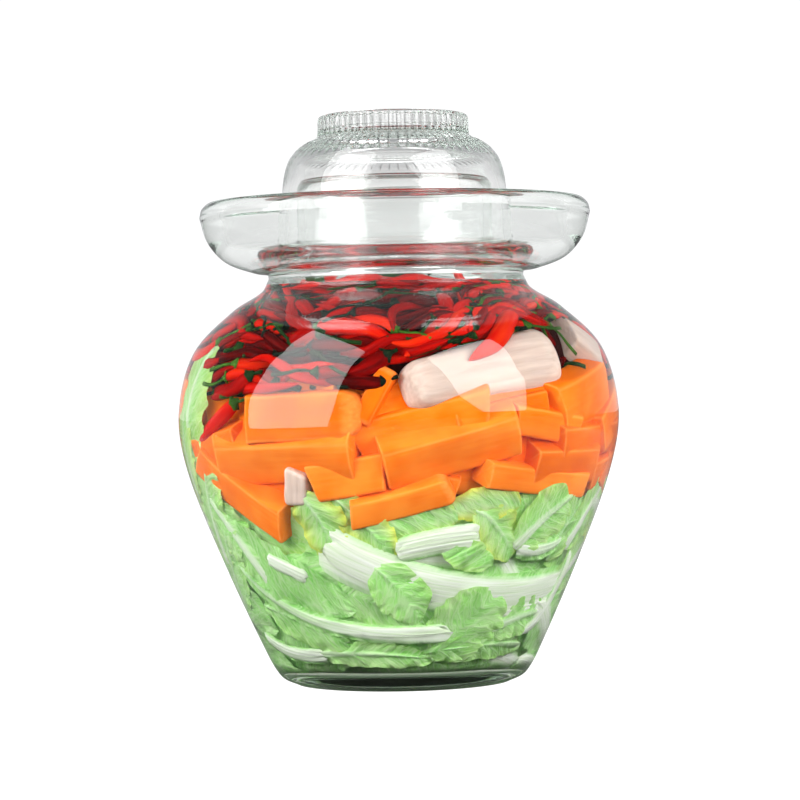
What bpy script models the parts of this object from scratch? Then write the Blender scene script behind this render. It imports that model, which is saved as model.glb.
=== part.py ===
"""Glass pickling jar with a water moat and a ribbed glass lid, filled with pickles.

The jar stands on the origin, +Z up, and its front looks along -Y. Inside it lie three heaps, one
above the other: cabbage leaves, carrot batons and red chillies, with two pieces of white radish
between the carrots and the chillies. The lid rests loose in the moat, over the mouth.
"""
import math
import random

import bmesh
import bpy
from mathutils import Matrix, Vector
from mathutils.bvhtree import BVHTree

MM = 0.001
GAP = 0.3 * MM                 # air between two pieces that rest on each other
WALL_CLEARANCE = 0.5 * MM      # between the pickles and the glass
TURN_STEPS = 36                # facets round the jar
MERGE = 0.00001

# Outlines of the glass: radius and height in millimetres, run through by a smooth curve.
WALL = 4.5                     # thickness of the body's wall
BASE_WALL = 6.0                # thickness of the wall just above the floor
FOOT = ((0.0, 2.6), (38.0, 2.2), (42.0, 0.0), (50.0, 0.0))
BODY = ((50.0, 0.0), (57.2, 3.7), (64.4, 16.0), (84.5, 61.2), (99.0, 100.5), (102.5, 126.6),
        (95.0, 154.6), (76.0, 174.0), (62.8, 182.4), (59.4, 188.4))
MOAT_OUTSIDE = ((59.9, 190.4), (66.0, 191.4), (79.4, 196.6), (87.6, 205.9), (91.1, 217.2))
MOAT_RIM = ((91.1, 217.2), (90.0, 221.2), (86.2, 224.0), (82.9, 221.2), (81.9, 216.5))
MOAT_INSIDE = ((81.9, 216.5), (77.2, 205.2), (66.0, 198.6))
MOAT_FLOOR = 198.4
COLLAR_OUTSIDE = ((50.0, 198.4), (46.3, 201.6), (45.4, 230.5))
COLLAR_LIP = ((45.4, 230.5), (43.5, 234.0), (41.7, 230.5))
BORE = ((41.7, 230.5), (41.7, 204.5), (45.2, 197.8), (52.8, 190.2), (56.0, 184.6))
FLOOR = 8.3                    # height of the floor inside
FLOOR_CORNER = ((56.6, 16.5), (52.0, 10.4), (43.0, 8.3))

# Lid: smooth below, fine flutes on the shoulder and ribs round the knob.
LID_RIBS = 48
FLUTE_DEPTH = 0.7
RIB_DEPTH = 1.3
LID_SKIRT = ((51.8, 198.7), (55.0, 198.7), (54.6, 212.0), (52.6, 226.0), (51.4, 236.0),
             (49.0, 243.5), (45.8, 248.0))
LID_SHOULDER = ((41.0, 251.3), (36.6, 253.0))
LID_KNOB = ((35.2, 254.8), (35.2, 262.0), (33.8, 264.0))
LID_RECESS = ((31.6, 264.0), (30.2, 262.4), (29.0, 255.0))
LID_INSIDE = ((38.0, 247.0), (44.5, 243.5), (48.2, 234.0), (51.4, 210.0))
LID_INSIDE_TOP = 247.5

# Heaps. Each core is a turned solid that leans with x, as the layers do in the jar.
CABBAGE_CORE = ((0.0, 84.0), (46.0, 84.0), (46.0, 66.0), (76.5, 64.0), (64.5, 40.0),
                (50.5, 16.0), (43.0, 11.0), (0.0, 11.0))
CABBAGE_LEAN = (0.0, 0.03)
CARROT_CORE = ((0.0, 131.0), (54.0, 131.0), (54.0, 124.0), (80.0, 124.0), (84.0, 106.0),
               (76.0, 86.0), (50.0, 84.6), (0.0, 84.6))
CARROT_LEAN = (0.03, 0.08)
CHILLI_CORE = ((0.0, 184.0), (38.0, 183.0), (52.0, 175.5), (65.0, 167.5), (79.5, 156.0),
               (85.0, 146.0), (52.0, 146.0), (52.0, 131.6), (0.0, 131.6))
CHILLI_LEAN = (0.08, 0.0)
CORE_STEPS = 24

# Carrot batons at the front: azimuth, height, length, width and tilt, degrees and millimetres.
CARROTS = ((-27, 126, 52, 21, 3), (-34, 105, 58, 18, 4), (-53, 91, 55, 17, -38),
           (-15, 95, 34, 14, 15), (1, 88, 46, 13, 12), (6, 109, 62, 20, 14),
           (4, 128, 62, 14, 16), (60, 134, 35, 20, 20), (42, 122, 24, 13, -18),
           (58, 113, 46, 15, 5), (49, 98, 38, 16, 2), (22, 93, 34, 13, -8), (80, 97, 24, 14, 40))
CARROT_DEPTH = 19.0
# Carrot rows round the back: height, how many, first azimuth and step.
CARROT_ROWS = ((97, 5, 104, 37), (115, 5, 98, 36), (132, 5, 106, 34))

# White radish: azimuth, height, length, width, tilt and depth.
RADISH_BATON = (24, 146, 74, 25, 12, 24)
RADISH_CHUNK = (70, 153.5, 24, 17, 22, 20)

# Ribs and leaves of cabbage at the front: azimuth, height, length, width, tilt, bow and thickness.
CABBAGE_RIBS = ((-8, 56, 74, 17, -22, -8, 5.0), (26, 53, 70, 16, 8, -12, 5.0),
                (-37, 35, 84, 8, -30, -14, 4.0), (-24, 25, 52, 10, -8, -5, 4.0),
                (12, 67, 40, 15, 10, 4, 5.0), (58, 44, 44, 12, 38, -6, 4.5))
CABBAGE_LEAVES = ((-62, 70, 52, 26, 62, 3, 1.6), (-40, 58, 56, 26, -28, 5, 1.6),
                  (44, 72, 34, 22, 30, 6, 1.6), (20, 35, 46, 24, 55, 4, 1.6),
                  (-4, 36, 44, 22, -40, -4, 1.6), (62, 66, 40, 22, -50, 5, 1.6))
LEAF_WAVE = 2.4
CABBAGE_BACK_ROWS = ((30, 3, 110, 68), (50, 4, 90, 56), (68, 4, 102, 50))

CHILLI_LENGTH = 44.0
CHILLI_RADIUS = 4.9
CHILLI_RISE = 4.0              # how much higher the layer lies at the right than in the middle
CHILLI_ROWS = ((147, 9), (156, 9), (166, 7), (175, 5))
CHILLI_TOP = 3


def smooth_run(points, samples):
    """Points of a smooth curve through an outline, with the outline's last point left out."""
    stops = [Vector(point) for point in points]
    reach = [0.0]
    for start, end in zip(stops, stops[1:]):
        reach.append(reach[-1] + (end - start).length)
    last = len(stops) - 1
    slopes = []
    for index in range(last + 1):
        before = max(index - 1, 0)
        after = min(index + 1, last)
        slopes.append((stops[after] - stops[before]) / (reach[after] - reach[before]))
    run = []
    for index in range(last):
        span = reach[index + 1] - reach[index]
        for step in range(samples):
            t = step / samples
            place = stops[index] * (1 + 2 * t) * (1 - t) ** 2
            place += slopes[index] * span * t * (1 - t) ** 2
            place += stops[index + 1] * t * t * (3 - 2 * t)
            place += slopes[index + 1] * span * t * t * (t - 1)
            run.append(tuple(place))
    return run


def offset_inward(points, thick_low, thick_high):
    """The body's outline moved into the glass, thicker at its low end."""
    moved = []
    last = len(points) - 1
    for index, (radius, height) in enumerate(points):
        before = Vector(points[max(index - 1, 0)])
        after = Vector(points[min(index + 1, last)])
        along = (after - before).normalized()
        share = min(max(height / 60.0, 0.0), 1.0)
        thickness = thick_low + (thick_high - thick_low) * share
        moved.append((radius - along.y * thickness, height + along.x * thickness))
    return moved


BODY_CURVE = smooth_run(BODY[:4], 1) + smooth_run(BODY[3:], 2) + [BODY[-1]]
INNER_WALL = [point for point in offset_inward(BODY_CURVE, BASE_WALL, WALL)
              if FLOOR_CORNER[0][1] + 3.0 < point[1] < BORE[-1][1] - 2.0]


def inner_radius(height):
    """Inside radius of the jar's body at a height, both in millimetres."""
    table = [FLOOR_CORNER[1], FLOOR_CORNER[0]] + INNER_WALL + [BORE[4], BORE[3]]
    for low, high in zip(table, table[1:]):
        if height <= high[1]:
            share = max((height - low[1]) / (high[1] - low[1]), 0.0)
            return low[0] + (high[0] - low[0]) * share
    return table[-1][0]


def wall_frame(azimuth, height, depth, tilt=0.0):
    """Frame at a place a little inside the wall: x along the piece, z out through the glass."""
    angle = math.radians(azimuth)
    slope = (inner_radius(height + 2.0) - inner_radius(height - 2.0)) / 4.0
    out = Vector((math.sin(angle), -math.cos(angle), -slope)).normalized()
    across = Vector((math.cos(angle), math.sin(angle), 0.0))
    up = out.cross(across)
    radius = inner_radius(height)
    place = Vector((radius * math.sin(angle), -radius * math.cos(angle), height)) - out * depth
    turn = math.radians(tilt)
    x_axis = across * math.cos(turn) + up * math.sin(turn)
    y_axis = up * math.cos(turn) - across * math.sin(turn)
    frame = Matrix((x_axis, y_axis, out)).transposed().to_4x4()
    frame.translation = place * MM
    return frame


def new_material(name, colour, roughness, transmission=0.0):
    material = bpy.data.materials.new(name)
    material.use_nodes = True
    shader = material.node_tree.nodes["Principled BSDF"]
    shader.inputs["Base Color"].default_value = (*colour, 1.0)
    shader.inputs["Roughness"].default_value = roughness
    shader.inputs["Metallic"].default_value = 0.0
    shader.inputs["Transmission Weight"].default_value = transmission
    return material


def new_collection(name):
    collection = bpy.data.collections.new(name)
    bpy.context.scene.collection.children.link(collection)
    return collection


def add_object(name, mesh, collection):
    thing = bpy.data.objects.new(name, mesh)
    collection.objects.link(thing)
    return thing


def turned(name, outline, steps, collection):
    """A solid turned round Z from an outline in millimetres that runs down its outer side."""
    mesh = bpy.data.meshes.new(name)
    points = [(radius * MM, 0.0, height * MM) for radius, height in outline]
    edges = [(index, index + 1) for index in range(len(points) - 1)]
    mesh.from_pydata(points, edges, [])
    thing = add_object(name, mesh, collection)
    screw = thing.modifiers.new("Turn", 'SCREW')
    screw.axis = 'Z'
    screw.steps = steps
    screw.render_steps = steps
    screw.use_merge_vertices = True
    screw.merge_threshold = MERGE
    screw.use_smooth_shade = True
    return thing


def as_mesh(thing):
    """Replace an object with a plain mesh of what it looks like after its modifiers."""
    name = thing.name
    home = thing.users_collection[0]
    graph = bpy.context.evaluated_depsgraph_get()
    mesh = bpy.data.meshes.new_from_object(thing.evaluated_get(graph))
    place = thing.matrix_world.copy()
    bpy.data.objects.remove(thing)
    work = bmesh.new()
    work.from_mesh(mesh)
    bmesh.ops.remove_doubles(work, verts=work.verts, dist=MERGE)
    bmesh.ops.recalc_face_normals(work, faces=work.faces)
    work.to_mesh(mesh)
    work.free()
    solid = add_object(name, mesh, home)
    solid.matrix_world = place
    return solid


def push_inside(mesh):
    """Move a mesh level towards the axis, step by step, until it clears the glass all over."""
    middle = sum((vertex.co for vertex in mesh.vertices), Vector()) / len(mesh.vertices)
    step = Vector((-middle.x, -middle.y, 0.0)).normalized() * 0.5 * MM

    def touches():
        for vertex in mesh.vertices:
            reach = math.hypot(vertex.co.x, vertex.co.y)
            if reach > inner_radius(vertex.co.z / MM) * MM - WALL_CLEARANCE:
                return True
        return False

    while touches():
        mesh.transform(Matrix.Translation(step))


def rounded_block(name, size, taper, frame, collection):
    """A cut baton: a box that narrows to one end, with its long edges bevelled."""
    work = bmesh.new()
    bmesh.ops.create_cube(work, size=1.0)
    for vertex in work.verts:
        narrow = taper if vertex.co.x > 0 else 1.0
        vertex.co.x *= size[0] * MM
        vertex.co.y *= size[1] * MM * narrow
        vertex.co.z *= size[2] * MM * narrow
    long_edges = [edge for edge in work.edges if abs(edge.verts[0].co.x - edge.verts[1].co.x) > MM]
    bmesh.ops.bevel(work, geom=long_edges, offset=1.6 * MM, segments=1, affect='EDGES')
    mesh = bpy.data.meshes.new(name)
    work.to_mesh(mesh)
    work.free()
    mesh.transform(frame)
    push_inside(mesh)
    return add_object(name, mesh, collection)


def tree_of(thing):
    points = [thing.matrix_world @ vertex.co for vertex in thing.data.vertices]
    faces = [tuple(face.vertices) for face in thing.data.polygons]
    return BVHTree.FromPolygons(points, faces, epsilon=GAP)


def drop_touching(collection, neighbours):
    """Leave out each loose piece that would cross a neighbouring node."""
    trees = [tree_of(neighbour) for neighbour in neighbours]
    for piece in list(collection.objects):
        own = tree_of(piece)
        if any(own.overlap(tree) for tree in trees):
            bpy.data.objects.remove(piece)


def leaning_core(name, outline, lean, collection):
    """A turned core whose layers rise towards +X: lean is the rise per mm at its foot and top."""
    core = as_mesh(turned(name, outline, CORE_STEPS, collection))
    low = min(vertex.co.z for vertex in core.data.vertices)
    high = max(vertex.co.z for vertex in core.data.vertices)
    for vertex in core.data.vertices:
        share = (vertex.co.z - low) / (high - low)
        vertex.co.z += vertex.co.x * (lean[0] + (lean[1] - lean[0]) * share)
    return core


def cut_round(heap, neighbours, cutters):
    """Cut room in a heap for each neighbour, a gap wider than it on every side."""
    for neighbour in neighbours:
        mesh = neighbour.data.copy()
        for vertex in mesh.vertices:
            vertex.co += vertex.normal * 2 * GAP
        cutter = add_object("room_for_" + neighbour.name, mesh, cutters)
        cutter.hide_render = True
        cutter.display_type = 'WIRE'
        cut = heap.modifiers.new("Room for " + neighbour.name, 'BOOLEAN')
        cut.operation = 'DIFFERENCE'
        cut.object = cutter


def fuse(core, pieces, material, neighbours=(), cutters=None):
    """One union of the core and its loose pieces, cut clear of the neighbours: one closed body."""
    union = core.modifiers.new("Fuse", 'BOOLEAN')
    union.operation = 'UNION'
    union.operand_type = 'COLLECTION'
    union.collection = pieces
    union.solver = 'MANIFOLD'      # the exact solver leaves pods that touch along an edge
    cut_round(core, neighbours, cutters)
    heap = as_mesh(core)
    for piece in list(pieces.objects):
        bpy.data.objects.remove(piece)
    bpy.data.collections.remove(pieces)
    keep_largest_body(heap.data)
    heap.data.materials.clear()
    heap.data.materials.append(material)
    return heap


def keep_largest_body(mesh):
    """Drop loose scraps and sealed hollows, so that one outer skin is left."""
    work = bmesh.new()
    work.from_mesh(mesh)
    unseen = set(work.faces)
    bodies = []
    while unseen:
        waiting = [unseen.pop()]
        body = set(waiting)
        while waiting:
            face = waiting.pop()
            for edge in face.edges:
                for other in edge.link_faces:
                    if other in unseen:
                        unseen.remove(other)
                        body.add(other)
                        waiting.append(other)
        bodies.append(body)
    bodies.sort(key=len)
    for body in bodies[:-1]:
        bmesh.ops.delete(work, geom=list(body), context='FACES')
    work.to_mesh(mesh)
    work.free()


def make_jar(home, material):
    body = BODY_CURVE
    inside = [(0.0, FLOOR), (FLOOR_CORNER[2][0], FLOOR)]
    inside += [FLOOR_CORNER[1], FLOOR_CORNER[0]] + INNER_WALL
    mouth = smooth_run(tuple(reversed(BORE)), 1) + smooth_run(tuple(reversed(COLLAR_LIP)), 2)
    trough = smooth_run(tuple(reversed(COLLAR_OUTSIDE)), 1) + [COLLAR_OUTSIDE[0], (60.0, MOAT_FLOOR)]
    trough += smooth_run(tuple(reversed(MOAT_INSIDE)), 2)
    rim = smooth_run(tuple(reversed(MOAT_RIM)), 2)
    outside = smooth_run(tuple(reversed(MOAT_OUTSIDE)), 2) + [MOAT_OUTSIDE[0]]
    foot = list(reversed(FOOT))[1:]
    outline = inside + mouth + trough + rim + outside + list(reversed(body)) + foot
    jar = turned("jar", outline, TURN_STEPS, home)
    jar.data.materials.append(material)
    return jar


def ring(work, radius, height, sides, depth):
    """One ring of the lid: every second corner dips by the depth of a flute."""
    corners = []
    for index in range(sides):
        angle = 2 * math.pi * index / sides
        reach = radius - depth if sides > LID_RIBS and index % 2 else radius
        place = (reach * MM * math.sin(angle), -reach * MM * math.cos(angle), height * MM)
        corners.append(work.verts.new(place))
    return corners


def bridge(work, upper, lower):
    """Faces between two rings, also where one of them has twice as many corners."""
    sides = max(len(upper), len(lower))
    coarse = min(len(upper), len(lower))
    if sides == coarse:
        for index in range(sides):
            after = (index + 1) % sides
            work.faces.new((lower[index], lower[after], upper[after], upper[index]))
        return
    for index in range(coarse):
        after = (index + 1) % coarse
        if len(upper) == sides:
            fine = (upper[(2 * index + 2) % sides], upper[2 * index + 1], upper[2 * index])
            work.faces.new((lower[index], lower[after]) + fine)
        else:
            fine = (lower[2 * index], lower[2 * index + 1], lower[(2 * index + 2) % sides])
            work.faces.new(fine + (upper[after], upper[index]))


def make_lid(home, material):
    """The lid is a loft between smooth rings and ribbed rings, which no turned outline gives."""
    smooth_sides = LID_RIBS
    ribbed_sides = 2 * LID_RIBS
    outside = [(radius, height, smooth_sides, 0.0) for radius, height in LID_SKIRT]
    outside += [(radius, height, ribbed_sides, FLUTE_DEPTH) for radius, height in LID_SHOULDER]
    outside += [(radius, height, ribbed_sides, RIB_DEPTH) for radius, height in LID_KNOB]
    recess = [(radius, height, smooth_sides, 0.0) for radius, height in LID_RECESS]
    inside = [(radius, height, smooth_sides, 0.0) for radius, height in reversed(LID_INSIDE)]
    work = bmesh.new()
    rings = [ring(work, *values) for values in outside + recess]
    for lower, upper in zip(rings, rings[1:]):
        bridge(work, upper, lower)
    recess_centre = work.verts.new((0.0, 0.0, LID_RECESS[-1][1] * MM))
    lining = [rings[0]] + [ring(work, *values) for values in inside]
    for lower, upper in zip(lining, lining[1:]):
        for index in range(smooth_sides):
            after = (index + 1) % smooth_sides
            work.faces.new((lower[after], lower[index], upper[index], upper[after]))
    dome_centre = work.verts.new((0.0, 0.0, LID_INSIDE_TOP * MM))
    for index in range(smooth_sides):
        after = (index + 1) % smooth_sides
        work.faces.new((rings[-1][index], rings[-1][after], recess_centre))
        work.faces.new((lining[-1][after], lining[-1][index], dome_centre))
    mesh = bpy.data.meshes.new("lid")
    work.to_mesh(mesh)
    work.free()
    mesh.materials.append(material)
    mesh.shade_smooth()
    mesh.set_sharp_from_angle(angle=math.radians(32))
    return add_object("lid", mesh, home)


def make_radish(name, values, home, material):
    azimuth, height, length, width, tilt, depth = values
    frame = wall_frame(azimuth, height, depth / 2, tilt)
    piece = rounded_block(name, (length, width, depth), 0.86, frame, home)
    piece.data.materials.append(material)
    return piece


def carrot_places():
    """Front batons as listed, then rows round the back with seeded lengths and tilts."""
    places = list(CARROTS)
    draw = random.Random(11)
    for height, count, first, step in CARROT_ROWS:
        for index in range(count):
            azimuth = first + step * index
            length = draw.uniform(42, 56)
            places.append((azimuth, height, length, draw.uniform(14, 18), draw.uniform(-10, 14)))
    return places


def make_carrots(home, material, cutters, neighbours):
    loose = new_collection("carrot pieces")
    for index, (azimuth, height, length, width, tilt) in enumerate(carrot_places()):
        frame = wall_frame(azimuth, height, CARROT_DEPTH / 2, tilt)
        size = (length, width, CARROT_DEPTH)
        rounded_block("carrot_%02d" % index, size, 0.84, frame, loose)
    core = leaning_core("carrot_heap", CARROT_CORE, CARROT_LEAN, home)
    return fuse(core, loose, material, neighbours, cutters)


def cabbage_strip(name, values, cells, wave, collection):
    """A rib or a leaf: a sheet that follows the wall, bowed and waved, given its thickness."""
    azimuth, height, length, width, tilt, bow, thickness = values
    work = bmesh.new()
    bmesh.ops.create_grid(work, x_segments=cells[0], y_segments=cells[1], size=0.5)
    turn = math.radians(tilt)
    for vertex in work.verts:
        along = vertex.co.x
        across = vertex.co.y
        run = along * length
        rise = across * width * (1.0 - 0.35 * along) + bow * (1.0 - 4.0 * along * along)
        round_wall = run * math.cos(turn) - rise * math.sin(turn)
        up_wall = run * math.sin(turn) + rise * math.cos(turn)
        high = max(height + up_wall, FLOOR + 4.0)
        reach = inner_radius(high)
        angle = azimuth + math.degrees(round_wall / reach)
        ripple = wave * math.cos(9.0 * along + 5.0 * across)
        depth = 1.0 + wave + ripple + thickness / 2
        vertex.co = wall_frame(angle, high, depth).translation
    bmesh.ops.triangulate(work, faces=work.faces)
    mesh = bpy.data.meshes.new(name)
    work.to_mesh(mesh)
    work.free()
    sheet = add_object(name, mesh, collection)
    shell = sheet.modifiers.new("Thickness", 'SOLIDIFY')
    shell.thickness = thickness * MM
    shell.offset = 0.0
    solid = as_mesh(sheet)
    push_inside(solid.data)
    return solid


def make_cabbage(home, material, neighbours):
    loose = new_collection("cabbage pieces")
    core = leaning_core("cabbage_heap", CABBAGE_CORE, CABBAGE_LEAN, home)
    for index, values in enumerate(CABBAGE_RIBS):
        cabbage_strip("rib_%02d" % index, values, (4, 1), 0.0, loose)
    for index, values in enumerate(CABBAGE_LEAVES):
        cabbage_strip("leaf_%02d" % index, values, (3, 2), LEAF_WAVE, loose)
    draw = random.Random(5)
    for height, count, first, step in CABBAGE_BACK_ROWS:
        for index in range(count):
            thickness = 4.5 if index % 2 else 1.6
            values = (first + step * index, height, draw.uniform(44, 60), draw.uniform(12, 20),
                      draw.uniform(-35, 35), draw.uniform(-6, 6), thickness)
            wave = 0.0 if index % 2 else LEAF_WAVE
            cabbage_strip("back_%02d_%02d" % (height, index), values, (3, 1), wave, loose)
    drop_touching(loose, neighbours)
    return fuse(core, loose, material)


def chilli(name, path, radius, collection):
    """A tapered pod with its thin stem, as a round-sectioned curve of few sides."""
    thickness = (0.16, 0.62, 1.0, 1.0, 0.78, 0.24, 0.24)
    curve = bpy.data.curves.new(name, 'CURVE')
    curve.dimensions = '3D'
    curve.bevel_depth = radius * MM
    curve.bevel_resolution = 1
    curve.use_fill_caps = True
    spline = curve.splines.new('POLY')
    spline.points.add(len(path) - 1)
    for point, place, share in zip(spline.points, path, thickness):
        point.co = (*place, 1.0)
        point.radius = share
    return as_mesh(add_object(name, curve, collection))


POD_STATIONS = (-0.5, -0.3, -0.05, 0.2, 0.36, 0.4, 0.62)


def make_chillies(home, material, cutters, neighbours, radishes):
    loose = new_collection("chilli pieces")
    draw = random.Random(7)
    for height, count in CHILLI_ROWS:
        for index in range(count):
            azimuth = 360.0 * (index + draw.uniform(-0.15, 0.15)) / count
            side = 1 if draw.random() < 0.5 else -1
            tilt = math.radians(draw.uniform(-16, 16))
            bend = draw.uniform(-3.0, 3.0)
            level = height + CHILLI_RISE * math.sin(math.radians(azimuth))
            path = []
            for station in POD_STATIONS:
                run = side * station * CHILLI_LENGTH
                high = level + run * math.sin(tilt) + bend * (1.0 - 4.0 * station * station)
                angle = azimuth + math.degrees(run * math.cos(tilt) / inner_radius(high))
                path.append(wall_frame(angle, high, CHILLI_RADIUS + 1.0).translation)
            piece = chilli("chilli_%03d_%02d" % (height, index), path, CHILLI_RADIUS, loose)
            push_inside(piece.data)
    for index in range(CHILLI_TOP):
        heading = math.radians(draw.uniform(0, 180))
        aside = (index - CHILLI_TOP // 2) * 9.5
        along = Vector((math.cos(heading), math.sin(heading), 0.0))
        across = Vector((-along.y, along.x, 0.0))
        middle = (across * aside * 0.7 + Vector((0.0, 0.0, 186.5))) * MM
        path = [middle + along * station * CHILLI_LENGTH * MM for station in POD_STATIONS]
        chilli("chilli_top_%02d" % index, path, CHILLI_RADIUS, loose)
    drop_touching(loose, neighbours)
    core = leaning_core("chilli_heap", CHILLI_CORE, CHILLI_LEAN, home)
    return fuse(core, loose, material, radishes, cutters)


def main():
    for thing in list(bpy.data.objects):
        bpy.data.objects.remove(thing)
    home = new_collection("pickling jar")
    cutters = new_collection("cutters")
    clear_glass = new_material("clear soda-lime glass", (0.86, 0.93, 0.90), 0.03, 0.9)
    radish_flesh = new_material("white radish", (0.87, 0.84, 0.77), 0.35)
    carrot_flesh = new_material("cut carrot", (0.90, 0.17, 0.01), 0.32)
    cabbage_leaf = new_material("napa cabbage", (0.42, 0.62, 0.22), 0.40)
    chilli_skin = new_material("red chilli skin", (0.62, 0.01, 0.005), 0.22)
    make_jar(home, clear_glass)
    make_lid(home, clear_glass)
    radishes = [make_radish("radish_baton", RADISH_BATON, home, radish_flesh),
                make_radish("radish_chunk", RADISH_CHUNK, home, radish_flesh)]
    carrots = make_carrots(home, carrot_flesh, cutters, radishes)
    cabbage = make_cabbage(home, cabbage_leaf, [carrots])
    make_chillies(home, chilli_skin, cutters, [carrots, cabbage] + radishes, radishes)


main()
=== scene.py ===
import math
from functools import partial

import bpy
import numpy as np
from mathutils import Matrix, Vector


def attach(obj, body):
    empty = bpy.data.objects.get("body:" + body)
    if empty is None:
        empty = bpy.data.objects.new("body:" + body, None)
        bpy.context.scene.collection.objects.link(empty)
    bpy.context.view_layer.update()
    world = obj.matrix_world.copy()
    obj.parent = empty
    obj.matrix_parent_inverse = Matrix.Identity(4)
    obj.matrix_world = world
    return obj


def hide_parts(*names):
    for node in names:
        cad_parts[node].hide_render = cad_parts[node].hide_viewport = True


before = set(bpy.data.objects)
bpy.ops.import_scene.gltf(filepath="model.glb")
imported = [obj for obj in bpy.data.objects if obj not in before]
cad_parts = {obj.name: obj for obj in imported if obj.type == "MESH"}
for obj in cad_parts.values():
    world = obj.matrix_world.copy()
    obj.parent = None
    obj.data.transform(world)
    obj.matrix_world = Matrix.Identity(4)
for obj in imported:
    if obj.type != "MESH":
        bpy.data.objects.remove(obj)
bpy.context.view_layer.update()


# The jar: one piece of clear soda-lime glass, pressed and blown in a mould. Foot, body, neck, the
# moat that holds the sealing water and the collar under the lid are one wall of glass, whose inner
# face is a little wavy because only the outer one touched the mould.
MM = 0.001
WALL_THICKNESS = 4.5
BASE_THICKNESS = 6.0
BASE_HEIGHT = 60.0             # the wall is thicker below this height
FLOOR_HEIGHT = 8.3
BRINE_LEVEL = 183.0
# Outlines: radius and height, in millimetres.
FOOT = ((50, 0), (42, 0), (38, 2.2), (0, 2.6))
BODY = ((50, 0), (57.2, 3.7), (64.4, 16), (84.5, 61.2), (99, 100.5), (102.5, 126.6),
        (95, 154.6), (76, 174), (62.8, 182.4), (59.4, 188.4))
MOAT_OUTSIDE = ((59.4, 188.4), (59.9, 190.4), (66, 191.4), (79.4, 196.6), (87.6, 205.9),
                (91.1, 217.2))
MOAT_RIM = ((91.1, 217.2), (90, 221.2), (86.2, 224), (82.9, 221.2), (81.9, 216.5))
MOAT_INSIDE = ((81.9, 216.5), (77.2, 205.2), (66, 198.6), (60, 198.4))
COLLAR_OUTSIDE = ((60, 198.4), (50, 198.4), (46.3, 201.6), (45.4, 230.5))
COLLAR_LIP = ((45.4, 230.5), (43.5, 234), (41.7, 230.5))
BORE = ((41.7, 230.5), (41.7, 204.5), (45.2, 197.8), (52.8, 190.2), (56, 184.6))
FLOOR_CORNER = ((56.6, 16.5), (52, 10.4), (43, 8.3))
SEGMENTS = 144
WAVE_DEPTH = 0.16              # of the glass that touched no mould
MOULDED_WAVE_DEPTH = 0.03
WETTED_MIRROR = 0.04           # share of mirror left where brine or table touches the glass
FOOT_CONTACT = 0.7             # share of the foot's glass that the table touches
# The bottoms of pressed grooves are painted dark, letting less light through: painted shade.
GROOVE_SHADE_CLEARNESS = 0.08        # share of light that the bottom of a pressed groove lets through


def smooth_run(points, samples):
    """A smooth curve through an outline, with the outline's last point left out."""
    stops = [Vector(point) for point in points]
    reach = [0.0]
    for start, end in zip(stops, stops[1:]):
        reach.append(reach[-1] + (end - start).length)
    last = len(stops) - 1
    slopes = []
    for index in range(last + 1):
        before = max(index - 1, 0)
        after = min(index + 1, last)
        slopes.append((stops[after] - stops[before]) / (reach[after] - reach[before]))
    run = []
    for index in range(last):
        span = reach[index + 1] - reach[index]
        for step in range(samples):
            t = step / samples
            place = stops[index] * (1 + 2 * t) * (1 - t) ** 2
            place += slopes[index] * span * t * (1 - t) ** 2
            place += stops[index + 1] * t * t * (3 - 2 * t)
            place += slopes[index + 1] * span * t * t * (t - 1)
            run.append(tuple(place))
    return run


def inside_of(outline):
    """The inner face of the body: its outer face moved into the glass, deeper near the base."""
    moved = []
    last = len(outline) - 1
    for index, (radius, height) in enumerate(outline):
        along = Vector(outline[min(index + 1, last)]) - Vector(outline[max(index - 1, 0)])
        along.normalize()
        share = min(max(height / BASE_HEIGHT, 0.0), 1.0)
        thickness = BASE_THICKNESS + (WALL_THICKNESS - BASE_THICKNESS) * share
        moved.append((radius - along.y * thickness, height + along.x * thickness))
    return moved


body_curve = smooth_run(BODY, 8) + [BODY[-1]]
inner_curve = [point for point in inside_of(body_curve)
               if FLOOR_CORNER[0][1] + 2.0 < point[1] < BORE[-1][1] - 1.0]
inner_curve = smooth_run(FLOOR_CORNER[::-1] + (inner_curve[0],), 4) + inner_curve
mouth_curve = smooth_run((inner_curve[-1],) + BORE[::-1], 6)[1:]
cavity = np.array(inner_curve + mouth_curve)


def inner_radius(height):
    """Inside radius of the jar at a height, in millimetres; takes arrays too."""
    return np.interp(height, cavity[:, 1], cavity[:, 0])


def hex_colour(text):
    """A colour written in sRGB hex, as the linear values that a shader takes."""
    parts = [int(text[index:index + 2], 16) / 255 for index in (1, 3, 5)]
    return tuple(part / 12.92 if part <= 0.04045 else ((part + 0.055) / 1.055) ** 2.4
                 for part in parts) + (1.0,)


def grey(level):
    """A share of light that is the same for all colours."""
    return (level, level, level, 1.0)


def add_node(tree, kind, *inputs, stops=(), **named):
    """A shader node. Values without a name go to the sockets that it shows, in their order; those
    named with a capital go to that socket, the others are settings. A value is a number, a colour,
    a socket to link, or a node whose first output is linked."""
    made = tree.nodes.new("ShaderNode" + kind)
    for key, value in named.items():
        if key[0].islower():
            setattr(made, key, value)
    pairs = list(zip([socket for socket in made.inputs if socket.enabled], inputs))
    pairs += [(made.inputs[key.replace("_", " ")], value) for key, value in named.items()
              if key[0].isupper()]
    for socket, value in pairs:
        if isinstance(value, bpy.types.Node):
            value = next(output for output in value.outputs if output.enabled)
        if isinstance(value, bpy.types.NodeSocket):
            tree.links.new(value, socket)
        else:
            socket.default_value = hex_colour(value) if isinstance(value, str) else value
    while stops and len(made.color_ramp.elements) < len(stops):
        made.color_ramp.elements.new(1.0)
    for number, (position, colour) in enumerate(stops):
        made.color_ramp.elements[number].position = position
        made.color_ramp.elements[number].color = (
            hex_colour(colour) if isinstance(colour, str) else colour)
    return made


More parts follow.
